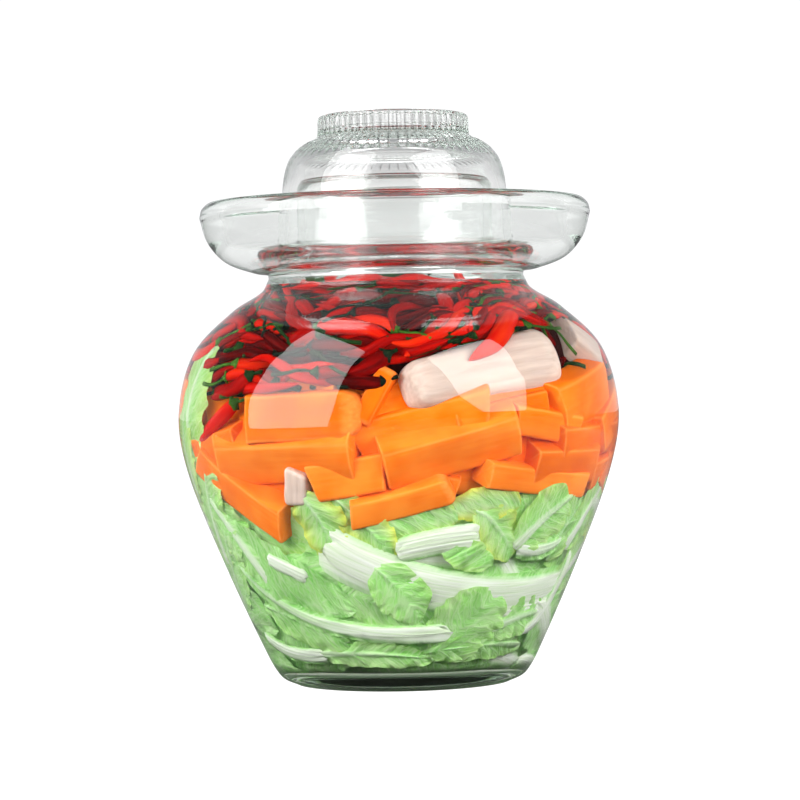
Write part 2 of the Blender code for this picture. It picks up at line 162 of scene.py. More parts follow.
def new_material(name):
    """An empty material, and add_node for its tree."""
    material = bpy.data.materials.new(name)
    material.use_nodes = True
    material.node_tree.nodes.clear()
    return material, partial(add_node, material.node_tree)


def clear_material(name, ior, volume_colour, density):
    """Glass or brine. Lamps shine through it, as through a thin wall, so that what is inside is
    lit. Where glass and brine wet each other, painted as wetted, almost no mirror is left. The
    bottoms of pressed grooves are painted dark: painted shade for the dark lines of their walls."""
    material, node = new_material(name)
    wetted = node("Attribute", attribute_name="wetted").outputs["Fac"]
    mirror = node("Mix", wetted, "#FFFFFF", grey(WETTED_MIRROR), data_type='RGBA')
    groove_shade = node("Attribute", attribute_name="groove_shade").outputs["Fac"]
    groove_darkened = node("Mix", groove_shade, "#FFFFFF", grey(GROOVE_SHADE_CLEARNESS), data_type='RGBA')
    shader = node("BsdfPrincipled", groove_darkened, Roughness=0.0, IOR=ior, Transmission_Weight=1.0,
                  Specular_Tint=mirror)
    lamp = node("LightPath").outputs["Is Shadow Ray"]
    open_way = node("BsdfTransparent", grey(0.98))
    mixed = node("MixShader", lamp, shader, open_way)
    absorbed = node("VolumeAbsorption", volume_colour, density)
    node("OutputMaterial", mixed, absorbed)
    return material


def new_mesh(name, points, faces, paints, *materials):
    """A smooth mesh from points in metres, with values painted on them."""
    mesh = bpy.data.meshes.new(name)
    mesh.from_pydata(points.tolist(), [], faces)
    mesh.shade_smooth()
    for paint, values in paints.items():
        layer = mesh.attributes.new(paint, 'FLOAT', 'POINT')
        layer.data.foreach_set("value", values.astype(np.float32))
    for material in materials:
        mesh.materials.append(material)
    return mesh


def add_object(name, data):
    thing = bpy.data.objects.new(name, data)
    bpy.context.scene.collection.objects.link(thing)
    return thing


def grid_faces(rows, columns, closed=False):
    """The quads of a grid of points, rows by columns; closed joins the last column to the first."""
    faces = []
    for row in range(rows - 1):
        for column in range(columns if closed else columns - 1):
            after = (column + 1) % columns
            faces.append((row * columns + column, row * columns + after,
                          (row + 1) * columns + after, (row + 1) * columns + column))
    return faces


def turns_round(count):
    """Even angles of a full turn."""
    return np.linspace(0, 2 * math.pi, count, endpoint=False)


def round_axis(radius, turn, height):
    """Places at a radius, an angle counted from the front and a height."""
    return np.stack([radius * np.sin(turn), -radius * np.cos(turn), height + 0 * turn], -1)


def turned_mesh(name, outline, radii, paints, material, inside_first=True):
    """A closed turned mesh. Its outline starts and ends on the axis, and radii has a row of radii
    for each of its points. inside_first says that the outline runs up the inside and then down."""
    rings, sides = radii.shape[0] - 2, radii.shape[1]
    angles = turns_round(sides)
    points = round_axis(radii, angles, outline[:, 1:])
    ends = [(0.0, 0.0, outline[end, 1]) for end in (0, -1)]
    faces = grid_faces(rings, sides, closed=True)
    last = (rings - 1) * sides
    for index in range(sides):
        after = (index + 1) % sides
        faces.append((after, index, rings * sides))
        faces.append((last + index, last + after, rings * sides + 1))
    if inside_first:
        faces = [face[:1] + face[:0:-1] for face in faces]
    spread = {paint: np.append((values + 0 * radii)[1:-1], (values + 0 * radii)[[0, -1], 0])
              for paint, values in paints.items()}
    return new_mesh(name, np.concatenate([points[1:-1].reshape(-1, 3), ends]) * MM, faces, spread,
                    material)


def wavy(outline, depth):
    """Radii with the slow waves of glass that cooled without touching a mould."""
    angles = turns_round(SEGMENTS)
    heights = outline[:, 1:]
    swell = np.sin(3 * angles + heights / 17.0) + np.sin(5 * angles - heights / 9.0 + 1.0)
    return outline[:, :1] + depth * 0.5 * swell


jar_inside = [(0.0, FLOOR_HEIGHT)] + list(map(tuple, cavity))
jar_outside = []
for run, samples in ((COLLAR_LIP, 8), (COLLAR_OUTSIDE, 6), (MOAT_INSIDE, 7), (MOAT_RIM, 6),
                     (MOAT_OUTSIDE, 6)):
    jar_outside += smooth_run(run[::-1], samples)
foot_curve = [(radius, max(height, 0.0)) for radius, height in smooth_run(FOOT, 5)[1:]]
foot_curve.append(FOOT[-1])
jar_outline = np.array(jar_inside + jar_outside + body_curve[::-1] + foot_curve)
is_inside = (np.arange(len(jar_outline)) < len(jar_inside))[:, None]
jar_wetted = np.where(is_inside & (jar_outline[:, 1:] < BRINE_LEVEL), 1.0, 0.0)
jar_wetted[-len(foot_curve):] = FOOT_CONTACT
jar_radii = wavy(jar_outline, np.where(is_inside, WAVE_DEPTH, MOULDED_WAVE_DEPTH))

# Soda-lime glass takes out red first, so it looks colourless through the wall and green through
# the thick base. IOR 1.52, polished by the mould.
soda_lime_glass = clear_material("soda-lime glass", 1.52, "#90C8A9", 4.0)
jar_mesh = turned_mesh("jar_glass", jar_outline, jar_radii, {"wetted": jar_wetted},
                       soda_lime_glass)
jar_glass = add_object("jar_glass", jar_mesh)
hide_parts("jar")
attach(jar_glass, "root")


# The cabbage: torn napa leaves packed into the lower half, each a thin crinkled blade, ruffled at
# its margin, on a thick white rib with lengthwise fibres. The brine has made them limp, so they
# lie against the glass and fold over each other, round a dark core of painted shade.
def against_wall(azimuth, height, along, up, depth):
    """Places given along the wall, up it and in from it, in millimetres, as x, y, z rows."""
    rise = (inner_radius(height + 2.0) - inner_radius(height - 2.0)) / 4.0
    level = height + up / np.sqrt(1 + rise * rise)
    level = np.clip(level, FLOOR_HEIGHT + 1.2, BRINE_LEVEL + 8.0)
    lean = (inner_radius(level + 1.0) - inner_radius(level - 1.0)) / 2.0
    reach = np.maximum(inner_radius(level) - depth * np.sqrt(1 + lean * lean), 1.0)
    turn = math.radians(azimuth) + along / np.maximum(inner_radius(level), 30.0)
    return round_axis(reach, turn, level) * MM


class Pile:
    """Gathers the meshes of many pieces of one kind, with painted values on their points."""

    def __init__(self, *paints):
        self.points = []
        self.faces = []
        self.slots = []
        self.grain = []
        self.paints = {paint: [] for paint in paints}
        self.count = 0

    def add(self, points, faces, slot, grain, **values):
        self.points.append(points)
        self.faces += [tuple(self.count + corner for corner in face) for face in faces]
        self.slots += [slot] * len(faces)
        self.grain.append(grain)
        for paint, runs in self.paints.items():
            runs.append(np.broadcast_to(values.get(paint, 0.0), (len(points),)))
        self.count += len(points)

    def finish(self, name, *materials):
        paints = {paint: np.concatenate(runs) for paint, runs in self.paints.items()}
        mesh = new_mesh(name, np.concatenate(self.points), self.faces, paints, *materials)
        mesh.polygons.foreach_set("material_index", self.slots)
        grain = mesh.attributes.new("grain", 'FLOAT_VECTOR', 'POINT')
        grain.data.foreach_set("vector", np.concatenate(self.grain).astype(np.float32).ravel())
        piece = add_object(name, mesh)
        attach(piece, "root")
        return piece


def ripple(points, size, seed):
    """Smooth noise in -1..1 at rows of two coordinates."""
    total = np.zeros(len(points))
    draws = np.random.default_rng(seed)
    for _ in range(7):
        way = draws.normal(size=2)
        way *= 2 * math.pi / (size * np.linalg.norm(way)) * draws.uniform(0.6, 1.5)
        total += np.sin(points @ way + draws.uniform(0, 2 * math.pi))
    return total / 3.2


RAGGED = 0.09                  # share of its width by which a blade's outline wanders
FIBRE_SPACING = 1.9
RIB_BULGE = 0.16               # share of a rib's width by which it stands out, up to RIB_BULGE_MOST
RIB_BULGE_MOST = 2.4


def lay_leaf(azimuth, height, length, width, tilt, bow, rib_from, rib_to, depth, yellow, seed,
             cells):
    """One leaf or rib against the wall: rib_from and rib_to are the rib's widths at its ends."""
    draws = np.random.default_rng(seed)
    rows, columns = cells
    s, v = np.meshgrid(np.linspace(-1, 1, columns), np.linspace(-1, 1, rows))
    s, v = s.ravel(), v.ravel()
    share = (s + 1) / 2
    rib_width = rib_from + (rib_to - rib_from) * share
    has_rib = rib_width > 0.5
    bare = np.clip((rib_width / width - 0.35) / 0.35, 0, 1)
    ragged = 1 + RAGGED * ripple(np.stack([s * length / 2, v * 3], -1), 9.0, seed + 1)
    outline = (1 - np.abs(s) ** 4) ** 0.5 * (0.66 + 0.34 * np.sin(math.pi * share)) * ragged
    outline = outline * (1 - bare) + bare * (1 - np.abs(s) ** 16) ** 0.25
    ends = 1 + 0.05 * ripple(np.stack([v * 8, v * 0], -1), 6.0, seed + 6)
    x = s * length / 2 * ends
    y = v * width / 2 * outline
    place = np.stack([x, y], -1)

    from_rib = np.clip(np.abs(y) / (rib_width / 2 + 0.01), 0, 4)
    ribbed = np.sqrt(np.clip(1 - (from_rib / 1.05) ** 2, 0, 1)) * has_rib
    blade = 1 - np.clip(1.5 - from_rib, 0, 1) * has_rib
    fold_line = np.abs(y) if rib_from + rib_to > 1 else y * draws.choice((-1, 1))
    vein_way = np.stack([x - 0.9 * fold_line, 0.35 * y], -1)
    folds = ripple(vein_way, 13.0, seed + 2)
    crinkle = 1 - np.abs(ripple(vein_way, 6.5, seed + 7))
    ruffle = np.maximum(ripple(np.stack([x, y * 0.3], -1), 8.5, seed + 3), -0.3) * np.abs(v) ** 3
    inward = depth + blade * (0.6 + 0.5 * folds + 0.45 * crinkle + 2.2 * ruffle)
    bulge = np.minimum(rib_width * RIB_BULGE, RIB_BULGE_MOST)
    inward = inward + bulge * (1 - ribbed) * np.clip(bare + 0.35 * has_rib, 0, 1)
    inward += 0.1 * np.sin(y * 2 * math.pi / FIBRE_SPACING + 0.1 * x) * ribbed
    inward += 0.8 * ripple(place, 50.0, seed + 5) + 2.2 * np.abs(s) ** 8
    inward = np.maximum(inward, 0.7)

    turn = math.radians(tilt)
    y = y + bow * (1 - s * s)
    points = against_wall(azimuth, height, x * math.cos(turn) - y * math.sin(turn),
                          x * math.sin(turn) + y * math.cos(turn), inward)
    shift = draws.uniform(0, 500, 3)
    rib_white = np.clip(ribbed * 1.3, 0, 1) ** 1.5 * np.clip(rib_width / 7.0, 0.2, 1)
    cabbage_pile.add(points, grid_faces(rows, columns), 0,
                     np.stack([vein_way[:, 0], place[:, 1], ribbed], -1) + shift, rib=rib_white,
                     margin=np.abs(v) ** 2 * (1 - bare), tone=draws.uniform(0, 1), yellow=yellow)


cabbage_pile = Pile("rib", "margin", "tone", "yellow")
# azimuth, height, length, width, tilt, bow, rib widths at both ends, depth, yellow
CABBAGE_PIECES = (
    (21, 59.5, 137, 22, -9.5, -14.5, 24, 16, 2.2, 0),
    (46, 41, 66, 11, 2, -4, 8, 11, 3.6, 0),
    (-29, 44.5, 111, 9.5, -17.7, -13, 1.5, 9.5, 0.7, 0),
    (-57, 22.5, 40, 9, -14, -4, 6, 8, 1.2, 0),
    (12, 69, 38, 13, 10, 1, 11, 14, 1.2, 0),
    (66, 44, 46, 8, 66, -5, 7, 8, 1.6, 0),
    (-46, 60, 84, 28, -33, -4, 0, 0, 1.8, 0),
    (-26, 50, 56, 30, -30, -2, 0, 0, 5, 0),
    (-26, 78, 34, 24, -68, 3, 3, 0, 2.6, 0.8),
    (-12, 77, 40, 20, -50, 2, 2, 0, 3.2, 0.9),
    (5, 77, 44, 16, 12, 3, 0, 0, 4.2, 0.4),
    (26, 84, 40, 16, 4, 3, 0, 0, 3.4, 1),
    (30, 72, 34, 20, -48, 3, 3, 0, 2.6, 0.6),
    (49, 77, 40, 28, 38, 3, 6, 2, 0.9, 0.2),
    (50, 67, 30, 10, 6, -3, 7, 4, 0.7, 0),
    (62, 74, 34, 26, 62, 3, 3, 0, 2, 0.2),
    (22, 62, 26, 15, -16, 1, 0, 0, 0.9, 0.2),
    (27, 31, 42, 34, 52, 3, 1.5, 0, 0.6, 0.1),
    (-41, 58.5, 22, 8, -24, 0, 7, 8, 1.2, 0),
    (-2, 46.5, 34, 24, -55, 2, 1.5, 0, 0.5, 0.1),
    (-62, 70, 56, 26, -58, 3, 4, 6, 1.6, 0.1),
    (-10, 40, 56, 24, -22, 3, 0, 2, 4.6, 0.1),
    (4, 36, 46, 24, -10, 2, 1, 0, 4.6, 0.1),
    (-44, 32, 50, 22, -24, 2, 2, 0, 2.4, 0.1),
    (-14, 17.5, 56, 14, -3, 2, 4, 0, 2.4, 0.1),
    (36, 20, 56, 16, 2, 2, 0, 3, 2.4, 0.1),
    (52, 32, 36, 20, 14, 2, 5, 2, 1.6, 0.1),
    (-70, 84, 60, 30, 66, 3, 6, 0, 1.4, 0.2),
    (-70, 130, 50, 36, 76, 3, 5, 3, 1, 0.3),
    (-72, 60, 56, 30, 58, 3, 4, 0, 1.6, 0.1),
    (-77, 112, 48, 26, 80, 3, 4, 2, 0.6, 0.4),
    (74, 80, 44, 24, 52, 3, 7, 4, 1.4, 0.2),
)
for number, piece in enumerate(CABBAGE_PIECES):
    lay_leaf(*piece, 100 + 10 * number, (28, 56))

# Behind and between those, rings of leaves go all the way round, in two layers.
LEAF_RINGS = (13, 26, 39, 52, 65, 77)
LEAF_STEP = 34
LEAF_CROWDING = 0.8
SEEN_SIDE = 76                 # degrees each way from the front
BEHIND_SEEN = 5.0
YELLOW_FROM = 60
cabbage_draws = np.random.default_rng(5)
draw = cabbage_draws.uniform
for layer, layer_depth in enumerate((3.0, 12.5)):
    for height in LEAF_RINGS:
        count = int(2 * math.pi * inner_radius(height) / LEAF_STEP * LEAF_CROWDING)
        for index in range(count):
            azimuth = 360 / count * (index + draw(-0.3, 0.3)) + 17 * layer
            azimuth = (azimuth + 180) % 360 - 180
            hidden = abs(azimuth) < SEEN_SIDE and layer == 0
            stemmed = cabbage_draws.random() < 0.4
            rib_width = draw(5, 13) if stemmed else 0.0
            lay_leaf(azimuth, height + draw(-5, 5), draw(44, 62), draw(24, 36), draw(-60, 60),
                     draw(-6, 6), rib_width, rib_width * draw(0.3, 1.2),
                     layer_depth + draw(-1.5, 1.5) + BEHIND_SEEN * hidden,
                     max(0.0, (height - YELLOW_FROM) / 30),
                     int(cabbage_draws.integers(1 << 30)), (15, 22))

# A limp leaf blade: cells between pale veins, yellower toward the margin, thin enough for light to
# come through; the ribs are nearly white, with fine fibres along them.
napa_leaf, leaf_node = new_material("napa cabbage leaf in brine")
leaf_grain = leaf_node("Attribute", attribute_name="grain").outputs["Vector"]
leaf_warp = leaf_node("TexNoise", leaf_grain, Scale=0.12, Detail=2.0)
leaf_shift = leaf_node("VectorMath", leaf_warp.outputs["Color"], 7.0, operation='SCALE')
leaf_bent = leaf_node("VectorMath", leaf_grain, leaf_shift, operation='ADD')
vein_place = leaf_node("Mapping", leaf_bent, Scale=(0.15, 0.045, 0.0))
veins = leaf_node("TexVoronoi", vein_place, Scale=1.0, feature='DISTANCE_TO_EDGE')
vein_line = leaf_node("MapRange", veins, From_Max=0.08, To_Min=0.6, To_Max=0.0)
fine_place = leaf_node("Mapping", leaf_bent, Scale=(0.45, 0.3, 0.0))
fine_veins = leaf_node("TexVoronoi", fine_place, Scale=1.0, feature='DISTANCE_TO_EDGE')
fine_line = leaf_node("MapRange", fine_veins, From_Max=0.12, To_Min=0.4, To_Max=0.0)
all_veins = leaf_node("Math", vein_line, fine_line, operation='MAXIMUM')
wrinkle_place = leaf_node("Mapping", leaf_bent, Scale=(0.55, 0.13, 0.0))
wrinkles = leaf_node("TexNoise", wrinkle_place, Scale=1.0, Detail=4.0, Distortion=0.6)
leaf_cloud = leaf_node("TexNoise", leaf_grain, Scale=0.05, Detail=3.0)
leaf_mixed = leaf_node("Mix", 0.5, leaf_cloud, wrinkles)
leaf_green = leaf_node("ValToRGB", leaf_mixed,
                       stops=((0.34, "#82CF60"), (0.5, "#A6E285"), (0.66, "#C8F0AA")))
leaf_veined = leaf_node("Mix", all_veins, leaf_green, "#D3EDBB", data_type='RGBA')
leaf_margin = leaf_node("Attribute", attribute_name="margin").outputs["Fac"]
leaf_yellow = leaf_node("Attribute", attribute_name="yellow").outputs["Fac"]
margin_share = leaf_node("Math", leaf_margin, leaf_yellow, operation='MULTIPLY')
leaf_yellowed = leaf_node("Mix", margin_share, leaf_veined, "#E2E65A", data_type='RGBA')
rib_place = leaf_node("Mapping", leaf_grain, Scale=(0.03, 0.8, 0.0))
rib_fibre = leaf_node("TexNoise", rib_place, Scale=1.0, Detail=2.0)
rib_white = leaf_node("ValToRGB", rib_fibre,
                      stops=((0.3, "#DCEBCB"), (0.5, "#F0F6E6"), (0.7, "#FCFEF8")))
rib_share = leaf_node("Attribute", attribute_name="rib").outputs["Fac"]
leaf_ribbed = leaf_node("Mix", rib_share, leaf_yellowed, rib_white, data_type='RGBA')
leaf_relief = leaf_node("Math", all_veins, wrinkles, operation='ADD')
leaf_height = leaf_node("Mix", rib_share, leaf_relief, rib_fibre)
leaf_bump = leaf_node("Bump", Height=leaf_height, Strength=0.5, Distance=0.0007)
leaf_face = leaf_node("BsdfPrincipled", leaf_ribbed, Roughness=0.55, IOR=1.1, Normal=leaf_bump)
leaf_through = leaf_node("BsdfTranslucent", leaf_ribbed, Normal=leaf_bump)
leaf_shader = leaf_node("MixShader", 0.3, leaf_face, leaf_through)
leaf_node("OutputMaterial", leaf_shader)

# The heart of the heap: a turned core in dark greens, painted shade in the gaps between leaves.
painted_leaf_shade, leaf_shade_node = new_material("napa cabbage leaf in shade")
leaf_shade_place = leaf_shade_node("TexCoord").outputs["Object"]
leaf_shade_cloud = leaf_shade_node("TexNoise", leaf_shade_place, Scale=90.0, Detail=4.0)
leaf_shade_green = leaf_shade_node("ValToRGB", leaf_shade_cloud,
                       stops=((0.35, "#24571E"), (0.55, "#4B8F3A"), (0.7, "#86BE62")))
leaf_shade_shader = leaf_shade_node("BsdfPrincipled", leaf_shade_green, Roughness=0.7, IOR=1.1)
leaf_shade_node("OutputMaterial", leaf_shade_shader)


CORE_SIDES = 64


def add_core(pile, slot, bottom, top, depth):
    """A turned core inside a heap, between two heights, a depth in from the wall: painted shade."""
    levels = np.linspace(bottom, top, 14)
    reach = abs(against_wall(0, levels, 0 * levels, 0 * levels, depth)[:, 1]) / MM
    outline = np.array([(0.5, bottom), *zip(reach, levels), (0.5, top)])
    points = round_axis(outline[:, :1], turns_round(CORE_SIDES), outline[:, 1:]).reshape(-1, 3)
    pile.add(points * MM, grid_faces(len(outline), CORE_SIDES, closed=True), slot, points)


add_core(cabbage_pile, 1, FLOOR_HEIGHT + 2.0, 84.0, 15.0)
cabbage = cabbage_pile.finish("cabbage", napa_leaf, painted_leaf_shade)
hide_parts("cabbage_heap")


# The carrots: peeled, cut into short blocks with flat sides and slanted ends, some half round
# where the knife left the outside of the root. They lie in three or four courses on the cabbage.
WALL_GAP = 0.7
BLOCK_SIDES = 36


def lay_block(pile, azimuth, height, length, width, tilt, roll, yaw, depth, slant, boxy, rounding,
              thickness, seed, taper=0.0, rough=0.25, bent=0.5):
    """One cut piece by the wall; boxy is its cross-section's exponent, rounding the lengths that
    its two ends take to round off. Where it would run through the wall, it is moved inward, and a
    share of that, bent, is taken up by limp flesh that follows the glass. Returns its middle, axes
    and half sizes."""
    draws = np.random.default_rng(seed)
    turn = turns_round(BLOCK_SIDES)
    cross = np.stack([np.sign(np.cos(turn)) * np.abs(np.cos(turn)) ** (2 / boxy),
                      np.sign(np.sin(turn)) * np.abs(np.sin(turn)) ** (2 / boxy)], -1)
    half = length / 2
    ends = []
    for side, extent in zip((-1, 1), rounding):
        base = 1 - min(2 * extent / max(width, thickness), 1.0)
        end = [(side * half, base * share, 0.0) for share in (0.02, 0.4, 0.75)]
        for angle in np.linspace(0, math.pi / 2, 6):
            end.append((side * (half - extent * (1 - math.cos(angle))),
                        base + (1 - base) * math.sin(angle), math.sin(2 * angle)))
        ends.append(end)
    straight = np.linspace(-half + rounding[0], half - rounding[1], 9)[1:-1]
    run = ends[0] + [(place, 1.0, 0.0) for place in straight] + ends[1][::-1]
    points = np.concatenate([np.column_stack([np.full(BLOCK_SIDES, place), cross * size])
                             for place, size, _ in run])
    # Corners of the cross-section and the rounded ends are marked for a painted highlight.
    corner = np.tile(np.abs(np.sin(2 * turn)) ** 24, len(run))
    rounded = np.repeat([curve for _, _, curve in run], BLOCK_SIDES)
    squeeze = 1 - taper * (points[:, 0] / half)
    points[:, 1] *= width / 2 * squeeze
    points[:, 2] *= thickness / 2 * squeeze
    local = points.copy()
    side = points[:, 0] / half
    points[:, 0] += slant[0] * points[:, 1] * side + slant[1] * points[:, 2] * side
    wobble = rough * ripple(local[:, :2], 9.0, seed) + rough * ripple(local[:, 1:], 7.0, seed + 1)
    points[:, 1:] *= 1 + (wobble / max(width, 1.0))[:, None]

    spin = np.array(Matrix.Rotation(math.radians(yaw), 3, 'Y')
                    @ Matrix.Rotation(math.radians(roll), 3, 'X')).T
    points = points @ spin
    swing = math.radians(tilt)
    along = points[:, 0] * math.cos(swing) - points[:, 1] * math.sin(swing)
    up = points[:, 0] * math.sin(swing) + points[:, 1] * math.cos(swing)
    rise = float(inner_radius(height + 4.0) - inner_radius(height - 4.0)) / 8.0
    steep = math.hypot(1, rise)
    turn = math.radians(azimuth)
    out = np.array([math.sin(turn), -math.cos(turn), 0.0])
    across = np.array([math.cos(turn), math.sin(turn), 0.0])
    wall_up = (np.array([0, 0, 1.0]) + out * rise) / steep
    normal = np.cross(across, wall_up)
    middle = out * float(inner_radius(height)) + np.array([0, 0, height]) - normal * (
        depth + thickness / 2)
    offsets = along[:, None] * across + up[:, None] * wall_up + points[:, 2][:, None] * normal

    places = middle + offsets
    wall = inner_radius(np.clip(places[:, 2], 10, 184)) - WALL_GAP
    over = np.max(np.hypot(places[:, 0], places[:, 1]) - wall)
    middle = middle - normal * max(over, 0.0) * (1 - bent)
    places = middle + offsets
    wall = inner_radius(np.clip(places[:, 2], 10, 184)) - WALL_GAP
    reach = np.hypot(places[:, 0], places[:, 1])
    places[:, :2] *= np.minimum(1, wall / np.maximum(reach, 1e-6))[:, None]
    faces = grid_faces(len(run), BLOCK_SIDES, closed=True)
    faces.append(tuple(range(BLOCK_SIDES)))
    faces.append(tuple(reversed(range((len(run) - 1) * BLOCK_SIDES, len(run) * BLOCK_SIDES))))
    pile.add(places * MM, faces, 0, local + draws.uniform(0, 400, 3) * [1, 0, 0],
             tone=draws.uniform(0, 1), edge=np.maximum(corner, rounded))
    swung = np.array([[math.cos(swing), math.sin(swing), 0], [-math.sin(swing), math.cos(swing), 0],
                      [0, 0, 1.0]])
    axes = spin @ swung @ np.stack([across, wall_up, normal])
    return middle, axes, np.array([length, width, thickness]) / 2


carrot_pile = Pile("tone", "edge")
CARROT_THICKNESS = 16.0
# azimuth, height, length, width, tilt, roll, yaw, depth, slants, boxiness, end roundings
CARROT_PIECES = (
    (-26.5, 125.5, 55, 21, 2, 4, 0, 0.8, (0, 0.1), 6, (1, 10)),
    (-35, 106, 70, 21, 1, 26, 0, 1, (0.2, 0.1), 8, (1, 1)),
    (-54, 91, 56, 17, -34, 12, 0, 0.8, (-0.2, 0.1), 8, (1, 1)),
    (-14.5, 96, 33, 17, 9, -6, 0, 4, (0.2, 0), 8, (1, 1)),
    (0, 86.5, 44, 13, 15, 14, 0, 1.2, (-0.2, 0.1), 8, (1, 4)),
    (14.5, 109.5, 60, 21, 14, 26, 0, 1, (0.1, 0.1), 8, (1, 1)),
    (7, 121.5, 58, 17, 13, 12, -8, 6.5, (0.3, 0.1), 7, (1, 2)),
    (-6.5, 134.5, 26, 9, 62, 0, 0, 4.5, (0, 0), 5, (2, 3)),
    (3, 133, 34, 18, 16, 0, 0, 12, (0.3, 0), 6, (2, 2)),
    (61, 133, 46, 22, 14, 20, 4, 0.8, (0.2, 0.1), 7, (1, 1)),
    (44, 120.5, 36, 13, -8, 16, 0, 4.6, (0.3, 0.1), 7, (1, 1)),
    (66, 113, 56, 14, 3, 14, 0, 3.4, (0.2, 0.1), 8, (1, 1)),
    (54, 101, 42, 17, 1, 12, -4, 1, (0.1, 0.1), 8, (1, 1)),
    (44, 93.5, 60, 12, -6, 4, 0, 2.6, (0.1, 0.1), 7, (1, 1)),
    (78, 99, 34, 14, 10, 10, 0, 1.6, (0.1, 0.1), 7, (1, 1)),
    (-60, 112, 36, 14, 8, 10, 0, 4, (0.1, 0.1), 7, (1, 1)),
    (80, 122, 40, 18, 24, 0, 0, 2.6, (0.1, 0.1), 7, (1, 1)),
    (30, 122, 44, 16, 10, 0, 0, 8, (0.1, 0.1), 7, (1, 1)),
    (30, 134, 44, 14, 12, 0, 0, 11, (0.1, 0.1), 7, (1, 1)),
)
CHILLI_STOPS = []
for number, piece in enumerate(CARROT_PIECES):
    CHILLI_STOPS.append(lay_block(carrot_pile, *piece, CARROT_THICKNESS, 40 + number))

# The back of the heap: height, count, and the azimuths between which a course runs.
CARROT_BACK = ((92, 9, 88, 268), (107, 9, 98, 282), (123, 8, 98, 292), (137, 7, 100, 280))
carrot_draws = np.random.default_rng(11)
draw = carrot_draws.uniform
for layer, (height, count, low, high) in enumerate(CARROT_BACK):
    for index in range(count):
        azimuth = low + (high - low) * (index + 0.5 * (layer % 2)) / count
        CHILLI_STOPS.append(lay_block(
            carrot_pile, azimuth, height + draw(-2, 2), draw(34, 52), draw(13, 19), draw(-22, 22),
            draw(-25, 25), draw(-8, 8), draw(1, 4), draw(-0.3, 0.3, 2),
            carrot_draws.choice((2.6, 5, 6, 7)), (1, 1), CARROT_THICKNESS,
            400 + 20 * layer + index))

# A second layer, all the way round behind the first: height and count of each course.
CARROT_BEHIND = ((93, 12), (108, 13), (122, 13), (134, 12))
for layer, (height, count) in enumerate(CARROT_BEHIND):
    for index in range(count):
        lay_block(carrot_pile, 360 / count * (index + 0.4 * layer), height + draw(-2, 2),
                  draw(38, 50), draw(14, 18), draw(-15, 15), draw(-15, 15), 0.0, draw(13, 17),
                  (0.1, 0.1), 6, (1, 1), 14.0, 900 + 20 * layer + index)

# Carrot flesh: orange, paler at the core of the root, with fine lengthwise fibres and a soft, wet
# knife-cut face. Roughness and IOR are those of wet flesh under brine.
carrot_flesh, carrot_node = new_material("cut carrot in brine")
carrot_grain = carrot_node("Attribute", attribute_name="grain").outputs["Vector"]
carrot_place = carrot_node("Mapping", carrot_grain, Scale=(0.04, 0.9, 0.9))
carrot_fibre = carrot_node("TexNoise", carrot_place, Scale=0.7, Detail=4.0)
carrot_cloud = carrot_node("TexNoise", carrot_grain, Scale=0.07, Detail=2.0)
carrot_mixed = carrot_node("Mix", 0.3, carrot_cloud, carrot_fibre)
carrot_paint = carrot_node("Attribute", attribute_name="tone").outputs["Fac"]
carrot_tone = carrot_node("Mix", 0.25, carrot_mixed, carrot_paint)
carrot_orange = carrot_node("ValToRGB", carrot_tone,
                            stops=((0.3, "#E05E05"), (0.5, "#EE7009"), (0.72, "#F88A28")))
# Edges and rounded ends are painted lighter: a painted highlight where they catch the light.
rim_highlight_paint = carrot_node("Attribute", attribute_name="edge").outputs["Fac"]
rim_highlight = carrot_node("Math", rim_highlight_paint, carrot_fibre, operation='MULTIPLY')
rim_highlight_share = carrot_node("Math", rim_highlight, 0.8, operation='MULTIPLY')
carrot_highlighted = carrot_node("Mix", rim_highlight_share, carrot_orange, "#FFA050", data_type='RGBA')
carrot_bump = carrot_node("Bump", Height=carrot_fibre, Strength=0.15, Distance=0.0003)
carrot_shader = carrot_node("BsdfPrincipled", carrot_highlighted, Roughness=0.5, IOR=1.1,
                            Normal=carrot_bump)
carrot_node("OutputMaterial", carrot_shader)
# A turned core in dark orange inside the heap: painted shade in the gaps between the blocks.
painted_carrot_shade, carrot_shade_node = new_material("cut carrot in shade")
carrot_shade_node("OutputMaterial", carrot_shade_node("BsdfPrincipled", "#8E3308", Roughness=0.8, IOR=1.1))
add_core(carrot_pile, 1, 84.5, 134.0, 26.0)
carrots = carrot_pile.finish("carrots", carrot_flesh, painted_carrot_shade)
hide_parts("carrot_heap")


# The radish: white radish peeled and cut, one thick baton with a rounded end and one chunk at the
# right limb, and a small piece low on the left. The flesh is translucent, so edges look softer.
radish_flesh, radish_node = new_material("white radish in brine")
radish_grain = radish_node("Attribute", attribute_name="grain").outputs["Vector"]
radish_place = radish_node("Mapping", radish_grain, Scale=(0.05, 0.6, 0.6))
radish_fibre = radish_node("TexNoise", radish_place, Scale=0.7, Detail=3.0)
radish_white = radish_node("ValToRGB", radish_fibre, stops=((0.3, "#BCA69A"), (0.7, "#D3C1B6")))
radish_shader = radish_node("BsdfPrincipled", radish_white, Roughness=0.4, IOR=1.1,
                            Subsurface_Weight=0.6, Subsurface_Radius=(1.0, 0.8, 0.6),
                            Subsurface_Scale=0.006)
radish_node("OutputMaterial", radish_shader)

